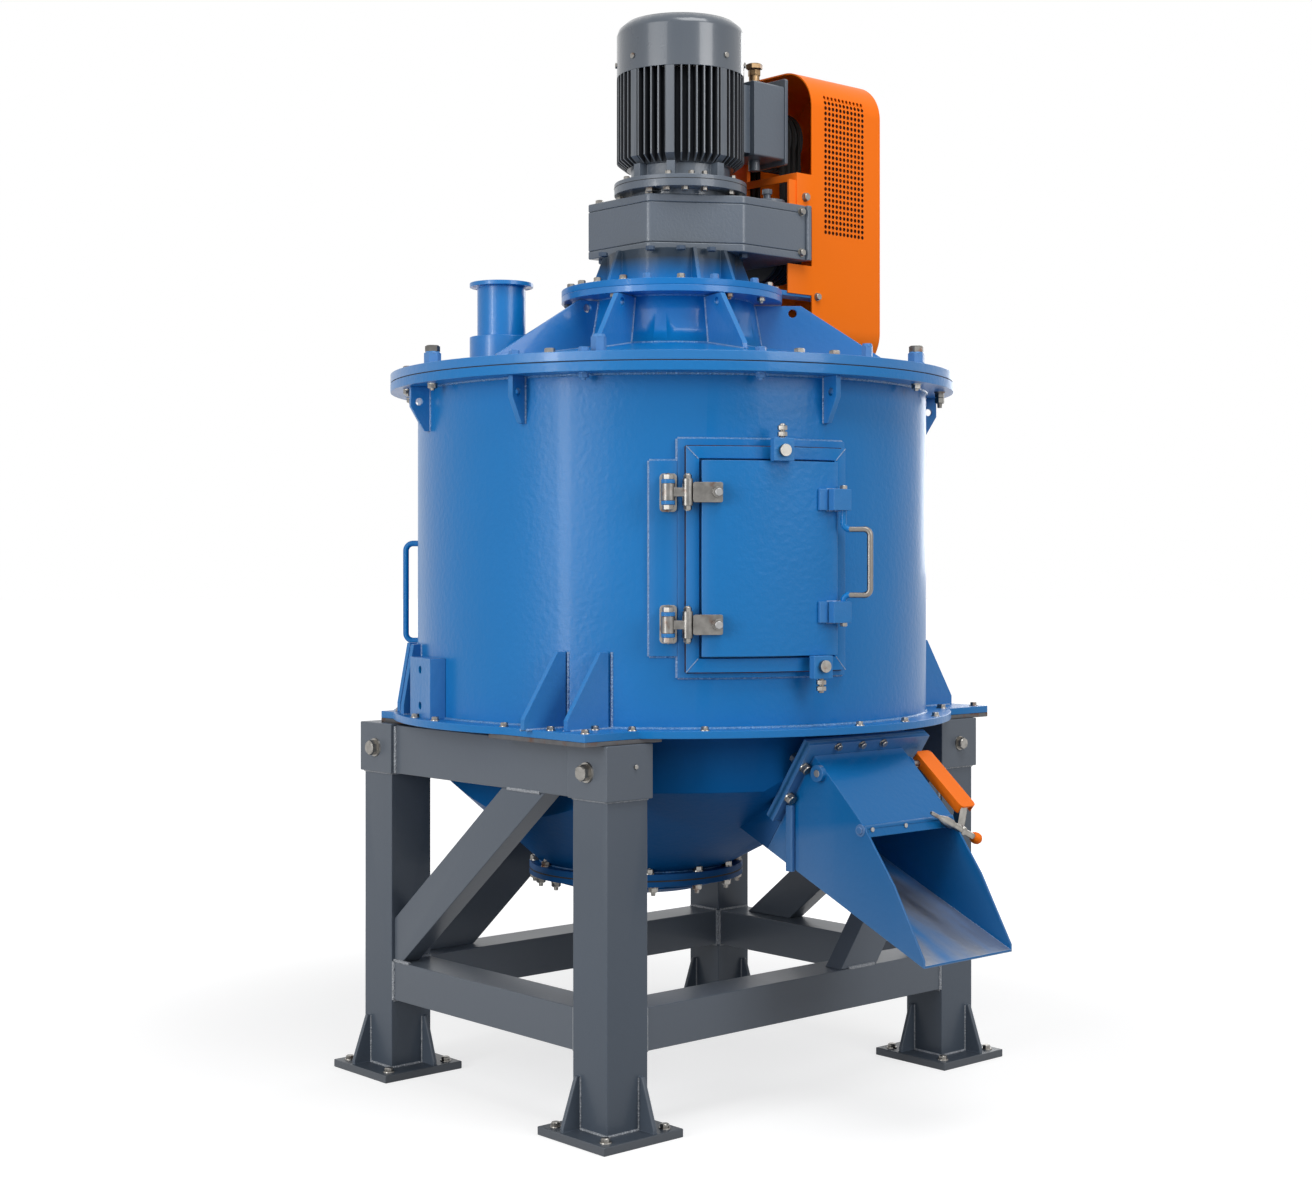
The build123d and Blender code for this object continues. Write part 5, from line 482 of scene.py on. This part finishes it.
CAP_BOLT_Z = 0.757
fit_bolts(
    "cap_bolt_heads",
    [((-LEG_X - CAP, -LEG_Y, CAP_BOLT_Z), LEFT), ((-LEG_X - CAP, LEG_Y, CAP_BOLT_Z), LEFT)],
    0.03, 0.016, washer=0.022, instead=("cap_bolts",),
)
fit_bolts(
    "right_cap_bolts",
    [((LEG_X, -LEG_Y - CAP, CAP_BOLT_Z), FRONT), ((LEG_X, LEG_Y + CAP, CAP_BOLT_Z), BACK)],
    0.024, 0.013, washer=0.017,
)
ANCHOR = 0.080
fit_bolts(
    "anchor_bolts",
    [((sx * LEG_X + ax * ANCHOR, sy * LEG_Y + ay * ANCHOR, FOOT_TOP), UP)
     for sx in (-1, 1) for sy in (-1, 1) for ax in (-1, 1) for ay in (-1, 1)],
    0.017, 0.008, washer=0.013,
)
fit_bolts("cap_side_screw", [((-0.505, -LEG_Y - CAP, 0.768), FRONT)], 0.009, 0.004)
pad_steel = steel("pad_steel", (0.12, 0.12, 0.125), 0.5, rust=0.1)
dress("levelling_pads", pad_steel)

# Hopper under the drum: rolled blue sheet, flat where it passes between the rails. Its outlet
# flange and dished cover are bolted up with a black gasket between them.
BLUE = (0.002, 0.17, 0.48)
blue = enamel("drum_blue", BLUE, peel=0.45)
# The blue beads are a little paler than the drum, with strongly paler edges: painted highlight.
blue_bead_highlit = enamel("blue_weld_painted_highlight", (0.016, 0.2, 0.5), roughness=0.3, ripple=0.8, rub_and_sheen=0.7, coat=0.2, gloss=0.4)
# The hopper and its cover get a darker, duller blue as painted shade under the drum.
hopper_blue_painted_shade = enamel("hopper_blue_painted_shade", (0.002, 0.085, 0.27), roughness=0.45, coat=0.0, gloss=0.05)
dress("hopper", hopper_blue_painted_shade)
dress("outlet_cover", hopper_blue_painted_shade)
OUTLET = (-0.063, 0.057)
OUTLET_TOP, COVER_UNDER, OUTLET_BOLT_R = 0.482, 0.453, 0.240
OUTLET_REAR = (-44, -14, 16, 46, 78, 110)
fit_bolts(
    "outlet_bolt_heads",
    ring(OUTLET_BOLT_R, OUTLET_TOP, (141.6, 168.4, -164, -124, -95, -69.2) + OUTLET_REAR, UP, OUTLET),
    0.019, 0.010, washer=0.012, stud=0.006,
)
fit_bolts(
    "outlet_nuts",
    ring(
        OUTLET_BOLT_R, COVER_UNDER, (141.6, 161.4, 178.8, -164, -121.8, -95.6, -70.6) + OUTLET_REAR,
        DOWN, OUTLET,
    ),
    0.019, 0.010, washer=0.012, stud=0.008,
)
work = bmesh.new()
bead_arc(work, 0.226, OUTLET_TOP, centre=OUTLET)
lay_beads("hopper_welds", work, blue_bead_highlit)

# Black rubber: the rim and outlet gaskets, the door's seal strip and the drive belts, all
# pressed or moulded and left matt.
rubber = bpy.data.materials.new("black_rubber")
rubber.use_nodes = True
shader = rubber.node_tree.nodes["Principled BSDF"]
shader.inputs["Base Color"].default_value = (0.012, 0.012, 0.012, 1)
grainy = rubber.node_tree.nodes.new("ShaderNodeTexNoise")
grainy.inputs["Scale"].default_value = 300
matt = rubber.node_tree.nodes.new("ShaderNodeMapRange")
matt.inputs["To Min"].default_value = 0.6
matt.inputs["To Max"].default_value = 0.9
rubber.node_tree.links.new(grainy.outputs["Fac"], matt.inputs["Value"])
rubber.node_tree.links.new(matt.outputs["Result"], shader.inputs["Roughness"])
for node in ("seals", "door_seal", "drive_belts"):
    dress(node, rubber, edge=0)

# Discharge chute: folded blue plate, bolted to the hopper's mouth through two flanges. Its
# floor is scoured to bare steel by what has run down it.
SLOPE = Vector((0, -0.4014, 0.9159))
worn_steel = steel("worn_steel", (0.36, 0.36, 0.36), 0.42)
scoured = enamel(
    "scoured_floor", BLUE, roughness=0.36, rub_and_sheen=0.4, bare=((0.44, 0.45, 0.47), (1.6, 0.35, 0.5), 0.36, 0.64)
)
chute_blue = enamel("chute_blue", (0.003, 0.13, 0.37), roughness=0.34, rub_and_sheen=0.5)
dress("discharge_chute", (chute_blue, scoured), mark=lambda face: face.normal.dot(SLOPE) > 0.97)
dress("mouth_flanges", chute_blue)
LEAN = Vector((0, -0.8311, -0.5562))
fit_bolts(
    "mouth_bolts",
    [((x, y, z), LEAN) for x in (-0.1435, 0.166) for y, z in ((-0.5774, 0.753), (-0.5325, 0.686))]
    + [((-0.1435, y, z), -LEAN) for y, z in ((-0.5575, 0.7664), (-0.5126, 0.6994))],
    0.021, 0.011, washer=0.0125,
)
fit_bolts(
    "mouth_bar_screws", [((x, -0.6055, 0.795), LEAN) for x in (-0.069, 0.0065, 0.074)],
    0.014, 0.007, washer=0.01,
)
fit_bolts(
    "hem_screws", [((x, -0.7425, 0.634), FRONT) for x in (-0.112, -0.008, 0.107)],
    0.009, 0.0035, paint=worn_steel,
)
rib = bmesh.new()
bmesh.ops.create_cube(
    rib, size=1, matrix=Matrix.Translation((-0.136, -0.529, 0.597)) @ Matrix.Diagonal((0.012, 0.02, 0.142, 1))
)
bmesh.ops.bevel(
    rib, geom=[line for line in rib.edges if abs((line.verts[0].co - line.verts[1].co).z) > 0.1],
    offset=0.004, segments=3, affect="EDGES", profile=0.5, material=-1,
)
finish("chute_rib", rib, chute_blue, edge=0.001)

# Gate: a steel flap on a cross shaft, worked by an orange channel lever. A plated rod in a
# fork under the lever locks it, with a turned cross handle and an orange ball for the hand.
# A small boss with a bolt stays on the chute's cheek beside it.
orange = enamel(
    "guard_orange", (1.0, 0.185, 0.003), roughness=0.42, peel=0.08, cloud=0.03, coat=0.0, rub_and_sheen=0.1, gloss=0.15
)
dress("gate_flap", worn_steel)
dress("gate_lever", orange, edge=0.001)
dress("lock_knob", orange, edge=0.0004)
dress("lever_yoke", plated, edge=0.0008)
dress("lock_rod", plated, edge=0.0006)
KNOB, ROD_TIP = Vector((0.205, -0.7576, 0.5895)), Vector((0.057, -0.7576, 0.6565))
work = bmesh.new()
turned = [
    work.verts.new(KNOB + (ROD_TIP - KNOB) * share + Vector((0, radius, 0)))
    for radius, share in (
        (0, 0), (0.0065, 0), (0.0065, 0.27), (0.0098, 0.28), (0.0098, 0.34), (0.0078, 0.35), (0.0078, 0.53),
        (0.0105, 0.56), (0.0105, 0.68), (0.006, 0.8), (0.0045, 0.82), (0.0045, 0.97), (0.003, 1), (0, 1))
]
outline = [work.edges.new(pair) for pair in zip(turned, turned[1:])]
bmesh.ops.spin(
    work, geom=turned + outline, cent=KNOB, axis=(ROD_TIP - KNOB).normalized(), angle=math.radians(360),
    steps=20, use_merge=True, use_duplicate=False,
)
bmesh.ops.remove_doubles(work, verts=work.verts, dist=1e-6)
bmesh.ops.recalc_face_normals(work, faces=work.faces)
finish("lock_handle", work, plated, body="lock", sharp=25)
fit_bolts(
    "cheek_boss", [((-0.130, -0.727, 0.632), LEFT)], 0.014, 0.004, washer=0.013,
    paint=chute_blue,
)
fit_bolts("lever_nut", [((0.2285, -0.612, 0.742), RIGHT)], 0.022, 0.0012, body="gate")

# Drum: a rolled shell between a base ring on foot plates and the top flange, with gussets,
# hanging lugs, a grab handle and a channel bracket welded to it.
for node in ("drum_shell", "drum_top_flange", "drum_base_flange", "foot_gussets", "hanging_lugs",
             "drum_handle", "drum_channel"):
    dress(node, blue)
SHELL_R, SHELL_LOW, RIM_UNDER, RIM_TOP = 0.600, 0.840, 1.584, 1.626
RING_BOLT_R, RIM_BOLT_R, PLATE_SIDES = 0.642, 0.632, (-0.006, 0.006)
work = bmesh.new()
bead_arc(work, SHELL_R, SHELL_LOW)
bead_arc(work, SHELL_R, RIM_UNDER)
for angle in (-164, -99, -34, 34, 98, 162):
    turn = Matrix.Rotation(math.radians(angle), 4, "Z")
    for side in PLATE_SIDES:
        lug_foot = turn @ Vector((SHELL_R, side, RIM_UNDER - 0.1))
        bead(work, lug_foot, turn @ Vector((SHELL_R, side, RIM_UNDER)), 0.0025)
for sx in (-1, 1):
    for sy, out in ((-1, 0.112), (1, 0.05)):
        for across in (0.262, 0.345):
            for side in PLATE_SIDES:
                y = sy * across + side
                x = sx * math.sqrt(SHELL_R**2 - y**2)
                bead(work, (x, y, SHELL_LOW), (x, y, SHELL_LOW + 0.16), 0.0028)
                bead(work, (x, y, SHELL_LOW), (x + sx * out, y, SHELL_LOW), 0.0028)
lay_beads("drum_welds", work, blue_bead_highlit)
RING_BOLTS = (145.4, 164.2, 173.8, -165.7, -146.5, -126, -93.5, -79.5, -63.9, -40, -14, 14, 40, 66, 92, 118)
fit_bolts("ring_bolts", ring(RING_BOLT_R, SHELL_LOW, RING_BOLTS, UP), 0.014, 0.007, washer=0.0105)
fit_bolts(
    "foot_bolts",
    [((sx * x, y, SHELL_LOW), UP)
     for sx in (-1, 1) for x, y in ((0.612, -0.303), (0.612, -0.415), (0.49, -0.42))],
    0.014, 0.007, washer=0.0105,
)

# Access port: a doubler plate with a mitred frame, and the hinge pad beside it, welded all
# round to the drum's wall.
for node in ("port_plates", "door_frame"):
    dress(node, blue)
PORT_LOW, PORT_HIGH, PAD_LOW, PAD_HIGH = 0.947, 1.446, 0.992, 1.400
PAD_LEFT, PORT_LEFT, PORT_RIGHT = -136.6, -131, -94.8
work = bmesh.new()
for level in (PORT_LOW, PORT_HIGH):
    bead_arc(work, SHELL_R, level, PORT_LEFT, PORT_RIGHT - PORT_LEFT)
for level in (PAD_LOW, PAD_HIGH):
    bead_arc(work, SHELL_R, level, PAD_LEFT, PORT_LEFT - PAD_LEFT)
for angle, low, high in (
    (PORT_LEFT, PORT_LOW, PORT_HIGH), (PORT_RIGHT, PORT_LOW, PORT_HIGH), (PAD_LEFT, PAD_LOW, PAD_HIGH),
):
    (low_end,), (high_end,) = around(SHELL_R, low, (angle,)), around(SHELL_R, high, (angle,))
    bead(work, low_end, high_end)
FRAME_LEFT, FRAME_RIGHT, FRAME_LOW, FRAME_HIGH = -129.4, -95.8, 0.959, 1.430
FRAME_FACE_R, DOUBLER_FACE_R = SHELL_R + 0.0253, SHELL_R + 0.0103
for angle, inner in ((FRAME_LEFT, -127.1), (FRAME_RIGHT, -98.2)):
    for level, inner_level in ((FRAME_LOW, 0.988), (FRAME_HIGH, 1.404)):
        (outer_end,) = around(FRAME_FACE_R, level, (angle,))
        (inner_end,) = around(FRAME_FACE_R, inner_level, (inner,))
        bead(work, outer_end, inner_end, 0.0012)
lay_beads("port_welds", work, blue_bead_highlit)
rust_line = steel("rust_line", (0.05, 0.03, 0.022), 0.7, rust=0.12)
work = bmesh.new()
for level in (FRAME_LOW, FRAME_HIGH):
    bead_arc(work, DOUBLER_FACE_R, level, FRAME_LEFT, FRAME_RIGHT - FRAME_LEFT, 0.0024)
for angle in (FRAME_LEFT, FRAME_RIGHT):
    (low_end,), (high_end,) = (around(DOUBLER_FACE_R, level, (angle,)) for level in (FRAME_LOW, FRAME_HIGH))
    bead(work, low_end, high_end, 0.0024)
lay_beads("port_rust_line", work, rust_line)

# Door hinges: plated brackets and pins on the drum, and steel knuckles, links and straps on
# the door, held by screws and a round-headed bolt in each strap.
HINGE_LEVELS = (1.059, 1.333)
hinge_blue = enamel("hinge_blue", BLUE, roughness=0.34, rub_and_sheen=0.5)
PLATE_R = 0.6166


def stands_off(face):
    centre = face.calc_center_median()
    return math.hypot(centre.x, centre.y) > PLATE_R


dress("hinge_brackets", (plated, hinge_blue), edge=0.0006, mark=stands_off)
dress("hinge_pins", plated, edge=0.0006)
hinge_steel = steel("hinge_steel", (0.27, 0.26, 0.245), 0.34, shade=0.35, rust=0.06)
dress("hinge_arms", hinge_steel, edge=0.0008)
hinge_out = around(1, 0, (-132.8,))[0]
fit_bolts(
    "hinge_plate_screws",
    [
        (Vector(hinge_out) * 0.6146 + Vector((0, 0, level + rise)), hinge_out)
        for level in HINGE_LEVELS for rise in (-0.035, 0.035)
    ],
    0.011, 0.005,
)
clamp = Vector(around(0.6463, 0, (-129.2,))[0])
fit_bolts(
    "clamp_nuts",
    [
        (clamp + Vector((0, 0, level + rise)), UP if rise > 0 else DOWN)
        for level in HINGE_LEVELS for rise in (-0.028, 0.028)
    ],
    0.015, 0.009, body="door",
)

# Door: a rolled tray that closes on the seal, with two latch blocks, a bent latch handle
# rubbed bare where it is gripped, and a clamp dog at its upper and lower edge.
dress("door_panel", blue)
dress("latch_blocks", blue)
grip_wear = enamel("grip_wear", BLUE, roughness=0.34, bare=((0.2, 0.185, 0.17), (1, 1, 1), 0.25, 0.45))
dress(
    "latch_handle", (blue, grip_wear), edge=0,
    mark=lambda face: math.hypot(*face.calc_center_median().xy) > 0.676,
)
dress("upper_clamp_dog", (blue, plated), edge=0.0012, mark=lambda face: face.calc_center_median().z > 1.4475)
dress("lower_clamp_dog", (blue, plated), edge=0.0012, mark=lambda face: face.calc_center_median().z < 0.9435)
dress("dog_bolts", plated, edge=0.0008)
LATCH_LEVELS, LATCH_RISE = (1.083, 1.320), 0.0225
latch_out = Vector(around(1, 0, (-99.4,))[0])
latch_side = Vector((-latch_out.y, latch_out.x, 0))
work = bmesh.new()
for level in LATCH_LEVELS:
    for rise in (-LATCH_RISE, LATCH_RISE):
        middle = latch_out * 0.6403 + Vector((0, 0, level + rise))
        bead(work, middle - latch_side * 0.023, middle + latch_side * 0.023, 0.0018)
lay_beads("latch_block_welds", work, blue_bead_highlit, body="door")
for name, level in zip(("low_latch_plate", "high_latch_plate"), LATCH_LEVELS):
    work = bmesh.new()
    bmesh.ops.create_cube(
        work, size=1,
        matrix=Matrix.Rotation(math.radians(-102.5), 4, "Z") @ Matrix.Translation((0.6443, 0, level))
        @ Matrix.Diagonal((0.008, 0.02, 0.045, 1)),
    )
    finish(name, work, blue, body="door", edge=0.0015)
fit_bolts(
    "latch_pin_nuts",
    [(latch_out * 0.6533 + latch_side * 0.012 + Vector((0, 0, level + rise)), UP if rise > 0 else DOWN)
     for level, rise in zip(LATCH_LEVELS, (-LATCH_RISE, LATCH_RISE))],
    0.014, 0.008, body="latch",
)
strap_spots = [Vector(around(0.6523 + 0.0103, level, (-123.7,))[0]) for level in HINGE_LEVELS]
fit_bolts(
    "strap_nuts", [(spot, Vector((spot.x, spot.y, 0)).normalized()) for spot in strap_spots],
    0.015, 0.005, body="door", paint=worn_steel,
)

# Lid: ring, shallow cone and pedestal welded into one, six lifting gussets round it, and the
# flanged charging pipe at the back.
lid_blue = enamel("lid_blue", BLUE, coat=0.25, gloss=0.35)
for node in ("lid", "lid_gussets", "inlet_pipe"):
    dress(node, lid_blue)
CONE_LOW_R, CONE_HIGH_R, CONE_TOP, PEDESTAL_R, PEDESTAL_TOP = 0.598, 0.215, 1.689, 0.195, 1.800
CHARGING_PIPE, PIPE_R = (-0.3184, 0.2487), 0.075
work = bmesh.new()
bead_arc(work, CONE_LOW_R, RIM_TOP, thick=0.0028)
bead_arc(work, CONE_HIGH_R, CONE_TOP, thick=0.0032)
bead_arc(work, PEDESTAL_R, PEDESTAL_TOP, thick=0.003)
bead_arc(work, PIPE_R, RIM_TOP + 0.035, thick=0.003, centre=CHARGING_PIPE)
for angle, foot in (
    (-41.7, 0.538), (-107.7, 0.392), (-159.2, 0.372), (166.3, 0.455), (105, 0.392), (35, 0.392),
):
    turn = Matrix.Rotation(math.radians(angle), 4, "Z")
    foot_z = RIM_TOP + (CONE_LOW_R - foot) * (CONE_TOP - RIM_TOP) / (CONE_LOW_R - CONE_HIGH_R)
    for side in PLATE_SIDES:
        root = turn @ Vector((CONE_HIGH_R, side, CONE_TOP))
        bead(work, root, turn @ Vector((foot, side, foot_z)), 0.0026)
        bead(work, root, turn @ Vector((PEDESTAL_R + 0.0015, side, PEDESTAL_TOP - 0.005)), 0.0026)
lay_beads("lid_welds", work, blue_bead_highlit)

# Rim bolts: hexagon heads on washers on the lid, with nuts under the drum's flange. Some were
# painted over with the lid, two of them with a second nut on top, and two more painted
# hexagons stand up from the lid beside them.
RIM_BOLTS = (155, 171, -164, -156, -149, -115, -107, -99, -73, -52, -20, 12, 44, 76, 108, 132)
PAINTED_OVER, TALL, NO_NUT = (-164, -149, -115, -52), (171, -73), (-164, -156, -107, -99)
work = bmesh.new()
painted = bmesh.new()
dull = bmesh.new()
for angle in RIM_BOLTS:
    (top,), (under,) = around(RIM_BOLT_R, RIM_TOP, (angle,)), around(RIM_BOLT_R, RIM_UNDER, (angle,))
    shown = painted if angle in PAINTED_OVER else work
    if angle in TALL:
        hexagon(painted, top, UP, 0.033, 0.024, washer=0.02)
        hexagon(dull, (top[0], top[1], RIM_TOP + 0.028), UP, 0.029, 0.014)
    else:
        hexagon(shown, top, UP, 0.0205, 0.0088, washer=0.0122)
    if angle == -52:
        hexagon(dull, under, DOWN, 0.02, 0.012, washer=0.013)
        hexagon(dull, (under[0], under[1], RIM_UNDER - 0.0145), DOWN, 0.02, 0.013, stud=0.01)
    elif angle not in NO_NUT:
        hexagon(shown, under, DOWN, 0.019, 0.009, washer=0.0115, stud=0.004)
finish("rim_bolts", work, plated, instead=("flange_bolts",))
for radius, angle, across in ((0.598, -147, 0.029), (0.575, -84, 0.022)):
    hexagon(painted, around(radius, RIM_TOP + 0.001, (angle,))[0], UP, across, 0.04)
finish("painted_rim_bolts", painted, blue)
dull_steel = steel("dull_steel", (0.17, 0.165, 0.155), 0.4, rust=0.08)
finish("dull_rim_nuts", dull, dull_steel)

# Neck and bearing: a ribbed casting between the pedestal and the gearbox, in blue paint that
# turns near-black towards the top as painted shade under the gearbox.
neck_blue_painted_shade = enamel("neck_blue_painted_shade", BLUE, roughness=0.36, rub_and_sheen=0.15, painted_shade_fade=((0.02, 0.034, 0.052), 1.842, 1.895))
dress("gearbox_neck", neck_blue_painted_shade)
CAST = (0.09, 0.112, 0.142)
cast = enamel("casting_grey", CAST, roughness=0.36, peel=0.35, grain=160, cloud=0.12, coat=0.25, gloss=0.4)
dress("bearing_housing", cast)
PLATE_TOP, PLATE_UNDER, PLATE_BOLT_R = 1.830, 1.800, 0.246
PLATE_BOLTS = (-175.8, -158.6, -127.2, -64.6, -45, -26, -8, 10, 28, 46, 64, 82, 100, 118, 136, 154, 170)
fit_bolts("pedestal_bolts", ring(PLATE_BOLT_R, PLATE_TOP, PLATE_BOLTS, UP), 0.016, 0.009, washer=0.011)
fit_bolts(
    "painted_pedestal_bolts", ring(PLATE_BOLT_R, PLATE_TOP, (-145.2, -108.8, -81.4), UP),
    0.018, 0.01, washer=0.0115, paint=blue,
)
fit_bolts(
    "pedestal_nuts", ring(PLATE_BOLT_R, PLATE_UNDER, (-164.2, -100, -75, 20, 60, 100, 140), DOWN),
    0.017, 0.009, stud=0.004,
)
fit_bolts(
    "neck_bolts", ring(0.1735, 1.915, (-148.6, -125, -100, -55, -20, 20, 60, 120, 160), DOWN),
    0.019, 0.010, paint=neck_blue_painted_shade,
)
work = bmesh.new()
bead_arc(work, 0.152, PLATE_TOP, thick=0.004)
lay_beads("neck_weld", work, blue_bead_highlit)

# Gearbox: a cast case between two ground plates, with an end cover, a filler boss and plated
# bolts through its corners.
for node in ("gearbox_case", "gearbox_covers"):
    dress(node, cast, edge=0.003)
dress("gearbox_breather", cast, edge=0.001)
GEARBOX_TOP = 2.047
fit_bolts(
    "gearbox_top_bolts",
    [((x, y, GEARBOX_TOP), UP)
     for x, y in ((-0.098, 0.15), (-0.098, -0.03), (0.26, 0.15), (0.15, 0.15), (0.262, 0.02))],
    0.017, 0.008, washer=0.011,
)
fit_bolts(
    "end_cover_bolts", [((0.265, -0.170, z), FRONT) for z in (1.932, 2.03)], 0.015, 0.008, washer=0.0105
)

# Motor: a cast flange and finned stator under a pressed fan cowl, all in dark grey, held by
# plated bolts in the flange and small screws round the cowl.
MOTOR = (0.028, 0)
FLANGE_UNDER, FLANGE_SEAM, FLANGE_TOP, STATOR_CORE_R, COWL_SCREW_Z = 2.060, 2.078, 2.088, 0.1495, 2.373
fin_grey = enamel(
    "stator_grey", (0.085, 0.1, 0.12), roughness=0.34, peel=0.25, grain=160, cloud=0.12, gloss=0.5, coat=0.3
)
# The faces between the fins are near black: painted shade in the gaps.
fin_gap_painted_shade = enamel(
    "stator_painted_shade", (0.018, 0.021, 0.026), roughness=0.5, peel=0.25, grain=160, gloss=0.1, coat=0
)
cowl_grey = enamel(
    "cowl_grey", (0.066, 0.082, 0.104), roughness=0.26, peel=0.08, cloud=0.05, coat=0.5, gloss=0.5
)


def between_fins(face):
    centre = face.calc_center_median()
    return math.hypot(centre.x - MOTOR[0], centre.y) < STATOR_CORE_R and abs(face.normal.z) < 0.5


dress("motor_flange", cast)
dress("motor_stator", (fin_grey, fin_gap_painted_shade), edge=0.0008, mark=between_fins)
dress("motor_cowl", cowl_grey)
work = bmesh.new()
bead_arc(work, 0.158, FLANGE_SEAM, thick=0.0008, centre=MOTOR)
lay_beads("flange_seam", work, rubber)
fit_bolts(
    "motor_flange_bolts",
    ring(0.1425, FLANGE_TOP, (-143.8, -122, -109, -72, -44, -20, 20, 70, 110, 139, 165), UP, MOTOR),
    0.013, 0.008, washer=0.009,
)
fit_bolts(
    "motor_foot_nuts",
    ring(
        0.142, FLANGE_UNDER, (139.2, -162.8, -145.2, -128, -109.2, -76, -44, -12, 20, 52, 84, 116),
        DOWN, MOTOR,
    ),
    0.015, 0.009,
)
fit_bolts(
    "cowl_screws",
    [(around(0.151, COWL_SCREW_Z, (angle,), MOTOR)[0], around(1, 0, (angle,))[0])
     for angle in (-179.2, -87.8, 139.4, -44.2, 0, 45, 90)],
    0.012, 0.005,
)

# Terminal box: a cast box on the motor's side with a screwed cover and a stepped brass gland
# on top, where its lead would enter.
brass = steel("gland_brass", (0.36, 0.24, 0.13), 0.4, rust=0.12)
dress("terminal_box", (cast, brass), mark=lambda face: face.calc_center_median().z > 2.362)
dress("terminal_box_cover", cast)
fit_bolts("gland_nut", [((0.228, -0.0475, 2.389), UP)], 0.036, 0.012, paint=brass)
fit_bolts(
    "terminal_screws",
    [((0.289, y, z), RIGHT) for y in (-0.09, -0.005) for z in (2.168, 2.352)], 0.009, 0.004,
)

# Belt drive: grooved iron pulleys on the gearbox input and on the small upper motor, whose
# bracket is bolted to the gearbox.
pulley_iron = enamel("pulley_iron", (0.04, 0.042, 0.045), roughness=0.45, peel=0.2, rub_and_sheen=0.6)
for node in ("upper_pulley", "lower_pulley"):
    dress(node, pulley_iron, edge=0.0008)
dress("auxiliary_motor", cast)
dress("drive_brackets", (blue, orange), mark=lambda face: face.calc_center_median().z > 1.93)

# Belt guard: a bent orange sheet cover with a field of punched holes on its front, standing
# on a shelf bracket and held by two tabs. The sheet's inside behind the holes and the holes'
# walls are painted near-black as painted shade.
guard_painted_shade = enamel("guard_inside_painted_shade", (0.045, 0.045, 0.05), roughness=0.7, coat=0, gloss=0.1)
guard = copy_of("belt_guard")
plain = bpy.data.meshes.new("guard_plain")
guard.to_mesh(plain)
guard.free()
blank = bpy.data.objects.new("guard_blank", plain)
bpy.context.scene.collection.objects.link(blank)
punch = bmesh.new()
HOLES_ACROSS, HOLES_UP, PITCH, HOLE_R, HOLE_FACE = 11, 26, 0.0132, 0.0046, 4e-5
FIELD_X, FIELD_Z, SHEET_MIDDLE = 0.438, 2.160, -0.148
INNER_LEFT, INNER_RIGHT, INNER_FRONT = 0.3285, 0.5645, -0.1475
for column in range(HOLES_ACROSS):
    for row in range(HOLES_UP):
        x = FIELD_X + (column - (HOLES_ACROSS - 1) / 2) * PITCH
        z = FIELD_Z + (row - (HOLES_UP - 1) / 2) * PITCH
        bmesh.ops.create_cone(
            punch, cap_ends=True, segments=12, radius1=HOLE_R, radius2=HOLE_R, depth=0.02,
            matrix=Matrix.Translation((x, SHEET_MIDDLE, z)) @ Matrix.Rotation(math.radians(90), 4, "X"),
        )
punch_shape = bpy.data.meshes.new("punch")
punch.to_mesh(punch_shape)
punch.free()
tool = bpy.data.objects.new("punch", punch_shape)
bpy.context.scene.collection.objects.link(tool)
cut = blank.modifiers.new("punched", "BOOLEAN")
cut.object = tool
cut.operation = "DIFFERENCE"
cut.solver = "EXACT"
punched = bpy.data.meshes.new_from_object(blank.evaluated_get(bpy.context.evaluated_depsgraph_get()))
for spare in (blank, tool):
    bpy.data.objects.remove(spare)
guard = bmesh.new()
guard.from_mesh(punched)
# The holes' walls and the inside of the front sheet take the painted shade.
for face in guard.faces:
    middle = face.calc_center_median()
    in_sheet = abs(middle.y - SHEET_MIDDLE) < 0.0015 and 0.36 < middle.x < 0.52
    punched_wall = face.calc_area() < HOLE_FACE and in_sheet
    between_sides = INNER_LEFT < middle.x < INNER_RIGHT and INNER_FRONT < middle.y < -0.05
    inside = between_sides and face.normal.y > 0.5
    face.material_index = 1 if punched_wall or inside else 0
finish("belt_guard_piece", guard, (orange, guard_painted_shade), instead=("belt_guard",), edge=0.0006)
fit_bolts(
    "guard_bolts", [((0.2805, -0.130, 1.8605), LEFT), ((0.3, -0.150, 2.072), FRONT)],
    0.017, 0.008, washer=0.011,
)
fit_bolts("guard_edge_bolt", [((0.3415, -0.150, 1.834), FRONT)], 0.015, 0.007, washer=0.01)

# Mixing rotor inside the drum: shaft, arms, paddles and wall scraper, welded up and scoured
# bright by what they mix. The motor's own rotor turns out of sight in its stator.
for node in ("main_shaft", "mixing_arms", "paddles", "wall_scraper", "motor_rotor"):
    dress(node, worn_steel)
